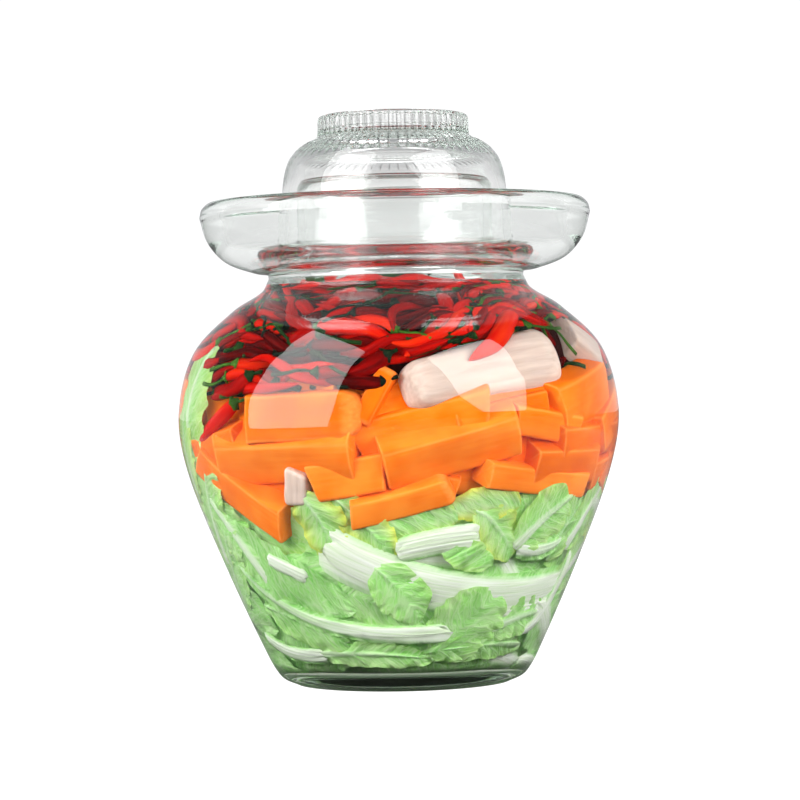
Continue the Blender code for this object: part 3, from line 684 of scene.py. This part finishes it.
radish_baton_pile = Pile("tone", "edge")
CHILLI_STOPS.append(lay_block(radish_baton_pile, 27, 147.5, 76, 24, 9.5, 0, 4, 4.5, (0.0, 0.0),
                              3.0, (7.0, 11.0), 22, 71, taper=-0.14, rough=0.1, bent=0.0))
radish_baton = radish_baton_pile.finish("radish_baton", radish_flesh)
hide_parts("radish_baton")
radish_chunk_pile = Pile("tone", "edge")
CHILLI_STOPS.append(lay_block(radish_chunk_pile, 72, 155.5, 22, 16, -38, 0, 0, 0.8, (0.1, 0.0),
                              6.0, (1.5, 1.5), 20, 73))
radish_chunk = radish_chunk_pile.finish("radish_chunk", radish_flesh)
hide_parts("radish_chunk")
radish_bit_pile = Pile("tone", "edge")
lay_block(radish_bit_pile, -30.5, 93, 16, 11, 78, 0, 0, 2.6, (0.2, 0.0), 4.0, (2.0, 2.0), 9, 75)
radish_bit = radish_bit_pile.finish("radish_bit", radish_flesh)


# The chillies: whole small red chillies, slightly bent and tapering to a point, each with its
# green calyx and a dark stem. They fill the shoulder and float up into the neck of the jar.
CHILLI_COUNT = 350
STEM_BEADS = 3
POD_BEADS = 7
BEADS = STEM_BEADS + POD_BEADS
POD_PROFILE = np.array((0.35, 0.3, 0.3, 0.78, 1.0, 1.0, 0.93, 0.78, 0.55, 0.2))
CHILLI_FLOOR = 133.0
CHILLI_DEPTH = 20.0
NECK_FOOT = 171.0              # above it the chillies fill the jar to its axis
HEAP_RADIUS = 52.0
HEAP_HEIGHT = 8.0              # by which the middle of the heap stands out of the brine
PACKING_STEPS = 90
chilli_draws = np.random.default_rng(29)
draw = chilli_draws.uniform
# Chillies that lie in plain sight: azimuths and heights of points from stem to tip, for some a way
# further in, then the depth and radius of the whole
SEEN_CHILLIES = (
    (((50, 172), (47, 169), (41, 164), (35, 159), (29, 153.5), (24, 150), (20, 147)), 0.3, 4.5),
    (((-43, 133), (-49, 131), (-53, 126), (-60, 120), (-69, 113)), 1, 3.6),
    (((-40, 144), (-44, 143), (-48, 138), (-54, 135), (-60, 133)), 1, 3.4),
    (((-34, 158), (-28, 160), (-17, 161.5), (-7, 159), (0, 154)), 1.4, 4.2),
    (((-10, 179.5), (-14, 179), (-23, 175), (-27, 169), (-32, 166)), 1.4, 3.2),
    (((16, 179), (19, 177), (19, 170), (18, 165), (12, 160), (3, 153)), 1.6, 3.6),
    (((44, 181), (40, 179), (31, 175), (25, 168)), 1.6, 3.4),
    (((66, 179), (60, 177), (41, 172), (30, 168), (19, 166)), 3.4, 4),
    (((-58, 164), (-52, 163), (-45, 161), (-39, 159)), 1.6, 3.2),
    (((0, 152), (-3, 150), (-9, 144), (-14, 142)), 1.4, 3.8),
    (((0, 141), (-5, 138.5), (-13, 139), (-20, 140)), 2.2, 3),
    (((-80, 155), (-74, 157), (-67, 161), (-62, 168)), 1.6, 3.6),
    (((-49, 162, -3), (-48.5, 161.5), (-47.5, 161, 6), (-45, 160, 20), (-44, 158, 36)), 1, 3.4),
    (((-41, 161.5, -3), (-40.5, 161), (-40, 160, 6), (-38, 158, 20), (-37, 156, 36)), 1, 3.6),
    (((-58, 153, -3), (-57.5, 152.5), (-56.5, 152, 6), (-53, 151, 20), (-52, 150, 36)), 1, 3.8),
    (((-48, 151, -3), (-47.5, 150.5), (-46.5, 150, 6), (-43, 149, 20), (-42, 148, 36)), 1.4, 3.4),
)


def along_curve(points, count, start=0.0, end=1.0):
    """Even places along a run of points, between two shares of its length."""
    steps = np.linalg.norm(np.diff(points, axis=0), axis=1)
    reach = np.concatenate([[0.0], np.cumsum(steps)])
    wanted = np.linspace(start, end, count) * reach[-1]
    return np.stack([np.interp(wanted, reach, points[:, axis]) for axis in range(3)], -1)


def drawn_beads(index):
    """The beads of a chilli that is laid at random: one in seven lies in the neck."""
    if index % 7 == 0:
        reach = HEAP_RADIUS * math.sqrt(chilli_draws.random())
        height = draw(175, 184)
    else:
        height = 134 + 46 * chilli_draws.random() ** 0.9
        reach = float(inner_radius(height)) - draw(4, CHILLI_DEPTH)
    turn = draw(0, 2 * math.pi)
    middle = np.array([reach * math.sin(turn), -reach * math.cos(turn), height])
    swing = chilli_draws.normal(0.0, 0.35)
    tangent = np.array([math.cos(turn + swing), math.sin(turn + swing),
                        chilli_draws.normal(0.0, 0.2)])
    tangent *= chilli_draws.choice((-1, 1)) / np.linalg.norm(tangent)
    share = np.concatenate([np.linspace(-0.85, -0.62, STEM_BEADS),
                            np.linspace(-0.5, 0.5, POD_BEADS)])
    return middle + share[:, None] * chilli_lengths[index] * tangent


# Each chilli is a string of beads, and the heap is packed by moving beads that overlap apart.
chilli_lengths = draw(34, 56, CHILLI_COUNT)
chilli_radii = draw(2.3, 3.3, CHILLI_COUNT) * (chilli_lengths / 42) ** 0.4
chilli_straight = draw(0.975, 0.998, CHILLI_COUNT)
seen = len(SEEN_CHILLIES)
beads = np.zeros((CHILLI_COUNT, BEADS, 3))
for index, (run, depth, radius) in enumerate(SEEN_CHILLIES):
    places = np.concatenate([against_wall(
        azimuth, height, np.zeros(1), np.zeros(1), max(depth + radius + sum(inward), 1.2))
        for azimuth, height, *inward in run]) / MM
    beads[index] = np.concatenate([along_curve(places, STEM_BEADS, 0.0, 0.14),
                                   along_curve(places, POD_BEADS, 0.2, 1.0)])
    chilli_radii[index] = radius
for index in range(seen, CHILLI_COUNT):
    beads[index] = drawn_beads(index)
radii = chilli_radii[:, None] * POD_PROFILE
rest = np.concatenate([np.full((CHILLI_COUNT, STEM_BEADS), 0.13),
                       np.full((CHILLI_COUNT, POD_BEADS - 1), 1 / (POD_BEADS - 1))], 1)
rest = rest * chilli_lengths[:, None]
seen_beads = beads[:seen].copy()
bead_radii = radii.ravel()
owner = np.repeat(np.arange(CHILLI_COUNT), BEADS)
bead_free = np.where(owner < seen, 0.0, 1.0)


def hold_apart(step, lengths, firm, only_short):
    """Moves beads that are step apart along each chilli toward their rest distance."""
    gap = beads[:, step:] - beads[:, :-step]
    length = np.linalg.norm(gap, axis=2)
    error = (length - lengths) / np.maximum(length, 1e-6)
    if only_short:
        error = np.minimum(error, 0.0)
    push = 0.5 * firm * error[:, :, None] * gap
    beads[:, :-step] += push
    beads[:, step:] -= push


for step in range(PACKING_STEPS):
    hold_apart(1, rest, 1.0, False)
    hold_apart(2, (rest[:, 1:] + rest[:, :-1]) * chilli_straight[:, None], 0.7, True)
    hold_apart(4, (rest[:, 3:] + rest[:, 2:-1] + rest[:, 1:-2] + rest[:, :-3])
               * chilli_straight[:, None] ** 4, 0.5, True)
    flat = beads.reshape(-1, 3)
    if step % 5 == 0:
        spread = (flat ** 2).sum(1)
        near = spread[:, None] + spread[None] - 2 * flat @ flat.T
        close = near < (bead_radii[:, None] + bead_radii[None] + 1.5) ** 2
        first, second = np.nonzero(np.triu(close, 1))
        apart = owner[first] != owner[second]
        first, second = first[apart], second[apart]
    gap = flat[first] - flat[second]
    length = np.linalg.norm(gap, axis=1)
    overlap = np.maximum(bead_radii[first] + bead_radii[second] - length, 0.0)
    shares = bead_free[first] + bead_free[second] + 1e-9
    push = 0.8 * (overlap / np.maximum(length, 1e-6) / shares)[:, None] * gap
    moved = np.zeros_like(flat)
    counts = np.ones(len(flat))
    np.add.at(moved, first, push * bead_free[first][:, None])
    np.add.at(moved, second, -push * bead_free[second][:, None])
    np.add.at(counts, first, (overlap > 0) * 0.5)
    np.add.at(counts, second, (overlap > 0) * 0.5)
    flat += moved / counts[:, None]
    # Off the carrots and the radish: lifted over their tops or moved in behind them.
    for middle, axes, half in CHILLI_STOPS:
        local = (flat - middle) @ axes.T
        room = half + bead_radii[:, None]
        inside = (np.abs(local[:, :2]) < room[:, :2]).all(1) & (local[:, 2] > -room[:, 2])
        upward = room[:, 1] - local[:, 1]
        inward = local[:, 2] + room[:, 2]
        lift = inside & (upward < inward)
        flat[lift] += upward[lift][:, None] * axes[1]
        sink = inside & ~lift
        flat[sink] -= inward[sink][:, None] * axes[2]
    # Inside the glass, above the carrots and under the surface of the brine.
    axis_reach = np.hypot(flat[:, 0], flat[:, 1])
    heaped = HEAP_HEIGHT * np.clip((HEAP_RADIUS - axis_reach) / 12.0, 0, 1)
    level = np.clip(flat[:, 2], CHILLI_FLOOR + bead_radii,
                    BRINE_LEVEL + heaped - 0.7 * bead_radii)
    flat[:, 2] = level
    lean = (inner_radius(level + 1.0) - inner_radius(level - 1.0)) / 2.0
    steep = np.sqrt(1 + lean * lean)
    reach = axis_reach + 1e-6
    most = inner_radius(level) - (bead_radii + 0.6) * steep
    least = np.where(level < NECK_FOOT, most - CHILLI_DEPTH * steep, 0.0)
    flat[:, :2] *= (np.clip(reach, least, most) / reach)[:, None]
    beads[:seen] = seen_beads

POD_RINGS = 16
POD_SIDES = 10
STEM_RINGS = 6
STEM_SIDES = 6
CALYX_LOBES = 5
chilli_pile = Pile("tone", "along")
pod_share = np.linspace(0, 1, POD_RINGS)
pod_girth = np.interp(pod_share, (0, 0.03, 0.1, 0.3, 0.5, 0.7, 0.85, 0.95, 1.0),
                      (0.62, 0.8, 0.96, 1.0, 0.95, 0.8, 0.58, 0.32, 0.06))
stem_girths = np.linspace(1.0, 0.65, STEM_RINGS)[:, None] + np.zeros((1, STEM_SIDES))
pod_turns = turns_round(POD_SIDES)


def tube(places, girths, reference):
    """Rings of points round a run of places, in metres."""
    sides = turns_round(girths.shape[1])
    ways = np.gradient(places, axis=0)
    ways /= np.linalg.norm(ways, axis=1)[:, None]
    first = reference - (ways @ reference)[:, None] * ways
    first /= np.linalg.norm(first, axis=1)[:, None]
    second = np.cross(ways, first)
    rings = places[:, None] + girths[:, :, None] * (
        np.cos(sides)[None, :, None] * first[:, None]
        + np.sin(sides)[None, :, None] * second[:, None])
    return rings.reshape(-1, 3) * MM


def smooth_places(points, count):
    """A smooth curve through the beads of one chilli."""
    stops = np.linspace(0, 1, len(points))
    wanted = np.linspace(0, 1, count)
    slopes = np.gradient(points, stops, axis=0)
    spot = np.clip(np.searchsorted(stops, wanted, side='right') - 1, 0, len(points) - 2)
    span = stops[1]
    t = ((wanted - stops[spot]) / span)[:, None]
    return (points[spot] * (1 + 2 * t) * (1 - t) ** 2 + slopes[spot] * span * t * (1 - t) ** 2
            + points[spot + 1] * t * t * (3 - 2 * t) + slopes[spot + 1] * span * t * t * (t - 1))


def tube_faces(rings, sides):
    """The sides and both ends of a tube."""
    last = (rings - 1) * sides
    return grid_faces(rings, sides, closed=True) + [tuple(reversed(range(sides))),
                                                    tuple(range(last, last + sides))]


for index in range(CHILLI_COUNT):
    radius = chilli_radii[index]
    tone = chilli_draws.random()
    chord = beads[index, -1] - beads[index, STEM_BEADS]
    reference = np.cross(chord, chilli_draws.normal(size=3))
    reference /= np.linalg.norm(reference)
    places = smooth_places(beads[index, STEM_BEADS:], POD_RINGS)
    dents = (1 + 0.05 * np.sin(2 * pod_turns[None] + pod_share[:, None] * 5 + tone * 9)
             + 0.05 * np.sin(3 * pod_turns[None] - pod_share[:, None] * 8 + tone * 31))
    along = np.repeat(pod_share, POD_SIDES)
    grain = np.stack([along * 35 + 40.0 * index, np.tile(np.cos(pod_turns), POD_RINGS) * radius,
                      np.tile(np.sin(pod_turns), POD_RINGS) * radius], -1)
    chilli_pile.add(tube(places, radius * pod_girth[:, None] * dents, reference),
                    tube_faces(POD_RINGS, POD_SIDES), 0, grain, tone=tone, along=along)
    way = places[0] - places[1]
    way /= np.linalg.norm(way)
    stem_run = np.concatenate([beads[index, :STEM_BEADS], places[:1] - way * 0.2 * radius])
    stem_places = smooth_places(stem_run, STEM_RINGS)
    chilli_pile.add(tube(stem_places, stem_girths, reference), tube_faces(STEM_RINGS, STEM_SIDES),
                    1, np.repeat(stem_places, STEM_SIDES, axis=0), tone=tone)
    # The calyx: a lobed cap over the pod's shoulder that closes round the stem.
    lobes = 1 + 0.16 * np.cos(CALYX_LOBES * pod_turns)
    calyx_places = places[0] + way * np.array([[-0.42], [-0.3], [0.0], [0.35], [0.7]]) * radius
    calyx_girths = radius * np.array((0.94, 0.98, 0.76, 0.42, 0.24))[:, None] * np.where(
        np.arange(5)[:, None] < 2, lobes, 1.0)
    calyx_faces = grid_faces(5, POD_SIDES, closed=True) + tube_faces(5, POD_SIDES)[-1:]
    chilli_pile.add(tube(calyx_places, calyx_girths, reference), calyx_faces, 1,
                    np.repeat(calyx_places, POD_SIDES, axis=0), tone=tone)

# Chilli skin: a glossy wall over red flesh, darker where it is ripest; stems and calyx green going
# to black. Under brine the gloss is slight.
chilli_skin, chilli_node = new_material("red chilli skin")
chilli_grain = chilli_node("Attribute", attribute_name="grain").outputs["Vector"]
chilli_place = chilli_node("Mapping", chilli_grain, Scale=(0.06, 0.5, 0.5))
chilli_cloud = chilli_node("TexNoise", chilli_place, Scale=1.0, Detail=3.0)
chilli_paint = chilli_node("Attribute", attribute_name="tone").outputs["Fac"]
chilli_tone = chilli_node("Mix", 0.55, chilli_cloud, chilli_paint)
chilli_red = chilli_node("ValToRGB", chilli_tone,
                         stops=((0.22, "#3A0202"), (0.45, "#860504"), (0.68, "#C20F05"),
                                (0.88, "#D8360C")))
chilli_bump = chilli_node("Bump", Height=chilli_cloud, Strength=0.35, Distance=0.0006)
chilli_shader = chilli_node("BsdfPrincipled", chilli_red, Roughness=0.22, IOR=1.06,
                            Normal=chilli_bump)
chilli_node("OutputMaterial", chilli_shader)
chilli_stem, stem_node = new_material("chilli stem and calyx")
stem_grain = stem_node("Attribute", attribute_name="grain").outputs["Vector"]
stem_cloud = stem_node("TexNoise", stem_grain, Scale=0.25, Detail=3.0)
stem_paint = stem_node("Attribute", attribute_name="tone").outputs["Fac"]
stem_tone = stem_node("Mix", 0.6, stem_cloud, stem_paint)
stem_green = stem_node("ValToRGB", stem_tone,
                       stops=((0.3, "#0A150C"), (0.62, "#193512"), (0.92, "#446E1C")))
stem_shader = stem_node("BsdfPrincipled", stem_green, Roughness=0.5, IOR=1.1)
stem_node("OutputMaterial", stem_shader)
# A turned core in dark red inside the heap: painted shade in the gaps between the pods.
painted_chilli_shade, chilli_shade_node = new_material("chillies in shade")
chilli_shade_node("OutputMaterial", chilli_shade_node("BsdfPrincipled", "#2A0806", Roughness=0.8, IOR=1.1))
add_core(chilli_pile, 2, 134.5, 172.0, 17.0)
chillies = chilli_pile.finish("chillies", chilli_skin, chilli_stem, painted_chilli_shade)
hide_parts("chilli_heap")


# The brine: salted water that fills the jar up to the neck and wets the glass. It reaches a little
# into the wall, so that no film of air shows between the two.
REACH_INTO_WALL = 0.3
MENISCUS = 1.3
brine_side = [(radius + REACH_INTO_WALL, height) for radius, height in cavity
              if height < BRINE_LEVEL + MENISCUS]
brine_top = [(0.0, BRINE_LEVEL)]
for inset in (20.0, 8.0, 5.0, 3.0, 1.8, 0.9):
    brine_top.append((brine_side[-1][0] - inset, BRINE_LEVEL + MENISCUS * math.exp(-inset / 1.6)))
brine_edge = (brine_side[-1][0] - 0.4, BRINE_LEVEL + MENISCUS * math.exp(-0.4 / 1.6))
brine_floor = FLOOR_HEIGHT - REACH_INTO_WALL
brine_outline = np.array(brine_top + [brine_edge] + brine_side[:0:-1]
                         + [(brine_side[0][0], brine_floor), (0.0, brine_floor)])
brine_wetted = np.where(np.arange(len(brine_outline)) < len(brine_top), 0.0, 1.0)[:, None]
# Salt water with a trace of juice: IOR 1.34, a faint yellow over a hand's depth.
brine_mesh = turned_mesh("brine", brine_outline, wavy(brine_outline, WAVE_DEPTH),
                         {"wetted": brine_wetted}, clear_material("brine", 1.34, "#FFF7D0", 2.0))
brine = add_object("brine", brine_mesh)
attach(brine, "root")


# The lid: a second pressing of the same glass, loose over the collar. Sixty fine flutes run down
# its shoulder, and the knob, a ring round a deep recess, has ribs for the fingers.
LID_SKIRT_FOOT = ((50.9, 200.2), (51.9, 198.8), (54.6, 198.8), (55, 201))
LID_SKIRT = ((55, 201), (54.6, 212), (52.6, 226), (51.4, 236), (49, 243.5),
             (45.4, 248.2))
LID_SHOULDER = ((45.4, 248.2), (41, 251.3), (37.2, 252.9), (35.6, 254.2))
LID_KNOB = ((35.6, 254.2), (35.3, 256), (35.2, 261.4), (34.6, 263.2), (32.8, 264))
LID_RECESS = ((32.8, 264), (31, 263.2), (30.2, 260.5), (29.6, 257), (27.6, 255.2),
              (18, 254.9), (0, 254.8))
LID_INSIDE = ((50.9, 200.2), (50.8, 206), (49, 226), (47.9, 234.5), (44.5, 242.6),
              (38, 246.6), (24, 247.6), (0, 247.8))
LID_RIBS = 60
RIB_DEPTH = 0.6
FLUTE_DEPTH = 0.7
FLUTE_FOOT = 246.6             # flutes run up from here to the knob
KNOB_FOOT = 253.4              # and the knob's ribs from here to its rim
KNOB_RIM = 263.6
RIB_GROOVE_SHADE = 0.8

lid_inside = [LID_INSIDE[-1]] + smooth_run(LID_INSIDE, 4)[:0:-1]
lid_moulded = (smooth_run(LID_SKIRT_FOOT, 4) + smooth_run(LID_SKIRT, 5)
               + smooth_run(LID_SHOULDER, 6) + smooth_run(LID_KNOB, 5))
lid_outline = np.array(lid_inside + lid_moulded + smooth_run(LID_RECESS, 4) + [LID_RECESS[-1]])
lid_rows = np.arange(len(lid_outline))[:, None] - len(lid_inside)
is_ribbed = (lid_rows >= 0) & (lid_rows < len(lid_moulded))
lid_heights = lid_outline[:, 1:]
rib = 0.5 - 0.5 * np.cos(LID_RIBS * turns_round(LID_RIBS * 8))
rib_edge = np.minimum((lid_heights - KNOB_FOOT) / 1.4, (KNOB_RIM - lid_heights) / 1.6)
flute_edge = np.minimum((lid_heights - FLUTE_FOOT) / 2.2, (KNOB_FOOT - lid_heights) / 0.6)
rib_press = np.clip(rib_edge, 0, 1) * rib ** 1.5 * is_ribbed
flute_press = np.clip(flute_edge, 0, 1) * rib ** 5 * is_ribbed
lid_radii = lid_outline[:, :1] - RIB_DEPTH * rib_press - FLUTE_DEPTH * flute_press
# Flute and rib bottoms are painted dark: painted shade for the dark lines of their steep walls.
lid_groove_shade = RIB_GROOVE_SHADE * rib_press ** 3 + flute_press ** 2
lid_mesh = turned_mesh("lid_glass", lid_outline, lid_radii, {"groove_shade": lid_groove_shade},
                       soda_lime_glass, inside_first=False)
lid_glass = add_object("lid_glass", lid_mesh)
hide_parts("lid")
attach(lid_glass, "root")


# The studio: a white table that runs on into the light, two large softboxes in front, one at each
# side, and an even white room. The softboxes that the glass mirrors are cards of their own, so
# that the lamps which light the food can be set apart from them.
TABLE_HALF = 30.0
TABLE_GLOW_SEEN = 1.05
TABLE_GLOW_THROUGH = 0.8
TABLE_GLOW_UNDER = 0.12        # in the jar's own shade, out to SHADE_REACH
TABLE_GLOW_MIRRORED = 0.12
SHADE_REACH = (0.05, 0.25)
paper, paper_node = new_material("white seamless paper")
table_way = paper_node("LightPath").outputs
table_place = paper_node("TexCoord").outputs["Object"]
table_reach = paper_node("VectorMath", table_place, operation='LENGTH')
under_jar = paper_node("MapRange", table_reach, *SHADE_REACH, TABLE_GLOW_UNDER, TABLE_GLOW_THROUGH)
table_mirror = paper_node("Math", table_way["Is Glossy Ray"], table_way["Is Transmission Ray"],
                          operation='SUBTRACT', use_clamp=True)
table_dimmed = paper_node("Mix", table_mirror, under_jar, TABLE_GLOW_MIRRORED)
table_glow = paper_node("Mix", table_way["Is Camera Ray"], table_dimmed, TABLE_GLOW_SEEN)
# Under the jar, the glow that the glass sees is painted green: painted light through the leaves.
outside_jar_shade = paper_node("MapRange", table_reach, *SHADE_REACH)
no_leaf_light = paper_node("Math", outside_jar_shade, table_way["Is Camera Ray"], operation='MAXIMUM')
painted_leaf_light = paper_node("Mix", no_leaf_light, "#8FD07A", "#FFFFFF", data_type='RGBA')
paper_shader = paper_node("BsdfPrincipled", grey(0.12), Roughness=0.9, Specular_IOR_Level=0.0,
                          Emission_Color=painted_leaf_light, Emission_Strength=table_glow)
paper_node("OutputMaterial", paper_shader)
paper.cycles.emission_sampling = 'NONE'
table_corners = np.array(((-1, -1, 0), (1, -1, 0), (1, 1, 0), (-1, 1, 0))) * TABLE_HALF
table = add_object("table", new_mesh("table", table_corners, [(0, 1, 2, 3)], {}, paper))

# The corners of the softboxes' lit cloths, seen from the jar, in metres.
SOFTBOXES = (
    ((-0.56, 0.15, 1.33), (-0.32, -0.82, 1.19), (-0.65, -1.13, 0.63),
     (-0.81, -1.12, -0.09), (-1.35, -0.24, -0.04), (-1.33, -0.21, 0.39),
     (-1.23, -0.27, 0.67), (-0.98, -0.22, 1.05)),
    ((0.31, -0.97, 1.06), (0.75, -0.16, 1.25), (0.93, -0.29, 1.09),
     (1.13, -0.46, 0.76), (1.21, -0.45, 0.61), (1.26, -0.56, 0.22),
     (0.94, -1.02, 0.23), (0.68, -1.16, 0.50)))
SOFTBOX_RADIANCE = 4.6
cloth, cloth_node = new_material("softbox cloth")
cloth_node("OutputMaterial", cloth_node("Emission", "#FFFFFF", SOFTBOX_RADIANCE))
cloth.cycles.emission_sampling = 'NONE'
for number, corners in enumerate(SOFTBOXES):
    count = len(corners)
    middle = tuple(sum(corner[axis] for corner in corners) / count for axis in range(3))
    sectors = [(index, (index + 1) % count, count) for index in range(count)]
    card = add_object(f"softbox_{number}",
                      new_mesh("softbox", np.array(corners + (middle,)), sectors, {}, cloth))
    card.visible_camera = False
    card.visible_diffuse = False
    card.visible_shadow = False

# Lamps for the food: azimuth counted from the camera's side, distance, height, size and watts. The
# glass and the brine let their light through unbent and don't mirror the lamps.
LAMPS = ((-50, 0.9, 0.30, 0.5, 10.5), (45, 0.9, 0.30, 0.5, 9.5), (0, 1.2, 0.04, 0.7, 8.6),
         (0, 0.45, 0.95, 0.5, 2), (180, 1, 0.40, 0.7, 9), (115, 1, 0.30, 0.6, 7),
         (-115, 1, 0.30, 0.6, 7))
JAR_MIDDLE = Vector((0.0, 0.0, 0.13))
for number, (azimuth, distance, height, size, watts) in enumerate(LAMPS):
    light = bpy.data.lights.new(f"lamp_{number}", 'AREA')
    light.size = size
    light.energy = watts
    light.cycles.use_multiple_importance_sampling = False
    lamp = add_object(f"lamp_{number}", light)
    place = Vector(round_axis(distance, math.radians(azimuth), height))
    lamp.location = place
    lamp.rotation_euler = (place - JAR_MIDDLE).to_track_quat('Z', 'Y').to_euler()

# The room: white to the eye, a little darker overhead for what it lights; what the glass mirrors
# of it is dark, but for a low glow behind the jar.
world = bpy.data.worlds.new("white studio")
bpy.context.scene.world = world
world.use_nodes = True
world.node_tree.nodes.clear()
sky_node = partial(add_node, world.node_tree)
direction = sky_node("TexCoord").outputs["Generated"]
sky_parts = sky_node("SeparateXYZ", direction).outputs
room = sky_node("ValToRGB", sky_parts["Z"],
                stops=((0.0, grey(0.88)), (0.2, grey(0.84)), (0.5, (0.58, 0.58, 0.59, 1.0)),
                       (0.9, (0.4, 0.4, 0.41, 1.0))))
sky_way = sky_node("LightPath").outputs
sky_mirror = sky_node("Math", sky_way["Is Glossy Ray"], sky_way["Is Transmission Ray"],
                      operation='SUBTRACT', use_clamp=True)
low_behind = sky_node("Math", sky_parts["Y"], sky_parts["Z"], operation='SUBTRACT')
behind = sky_node("ValToRGB", low_behind, stops=((0.0, grey(0.04)), (0.8, (0.6, 0.6, 0.62, 1.0))))
mirrored = sky_node("Mix", sky_mirror, room, behind, data_type='RGBA')
shade = sky_node("Mix", sky_way["Is Camera Ray"], mirrored, grey(1.05), data_type='RGBA')
sky_node("OutputWorld", sky_node("Background", shade, 1.0))

# Light has to get through two walls of glass, brine and back; more mirror bounces than these
# inside the foot would turn it pale.
BOUNCES = 40
MIRROR_BOUNCES = 20
cycles = bpy.context.scene.cycles
cycles.max_bounces = BOUNCES
cycles.transmission_bounces = BOUNCES
cycles.transparent_max_bounces = BOUNCES
cycles.glossy_bounces = MIRROR_BOUNCES
cycles.caustics_reflective = False
cycles.caustics_refractive = False
bpy.context.scene.view_settings.view_transform = 'Standard'

# The camera stands level with the jar's shoulder, at about its own length of a room away; the
# picture was turned by about a degree.
CAMERA_DISTANCE = 1.36
CAMERA_HEIGHT = 0.138
AIM = Vector((0.00075, 0.0, 0.131))
LENS = 131.0
ROLL = 1.15
camera = bpy.data.cameras.new("camera")
camera.lens = LENS
camera.sensor_width = 36.0
eye = add_object("camera", camera)
eye.location = (0.0, -CAMERA_DISTANCE, CAMERA_HEIGHT)
aim = (AIM - eye.location).to_track_quat('-Z', 'Y').to_matrix()
eye.rotation_euler = (aim @ Matrix.Rotation(math.radians(-ROLL), 3, 'Z')).to_euler()
bpy.context.scene.camera = eye
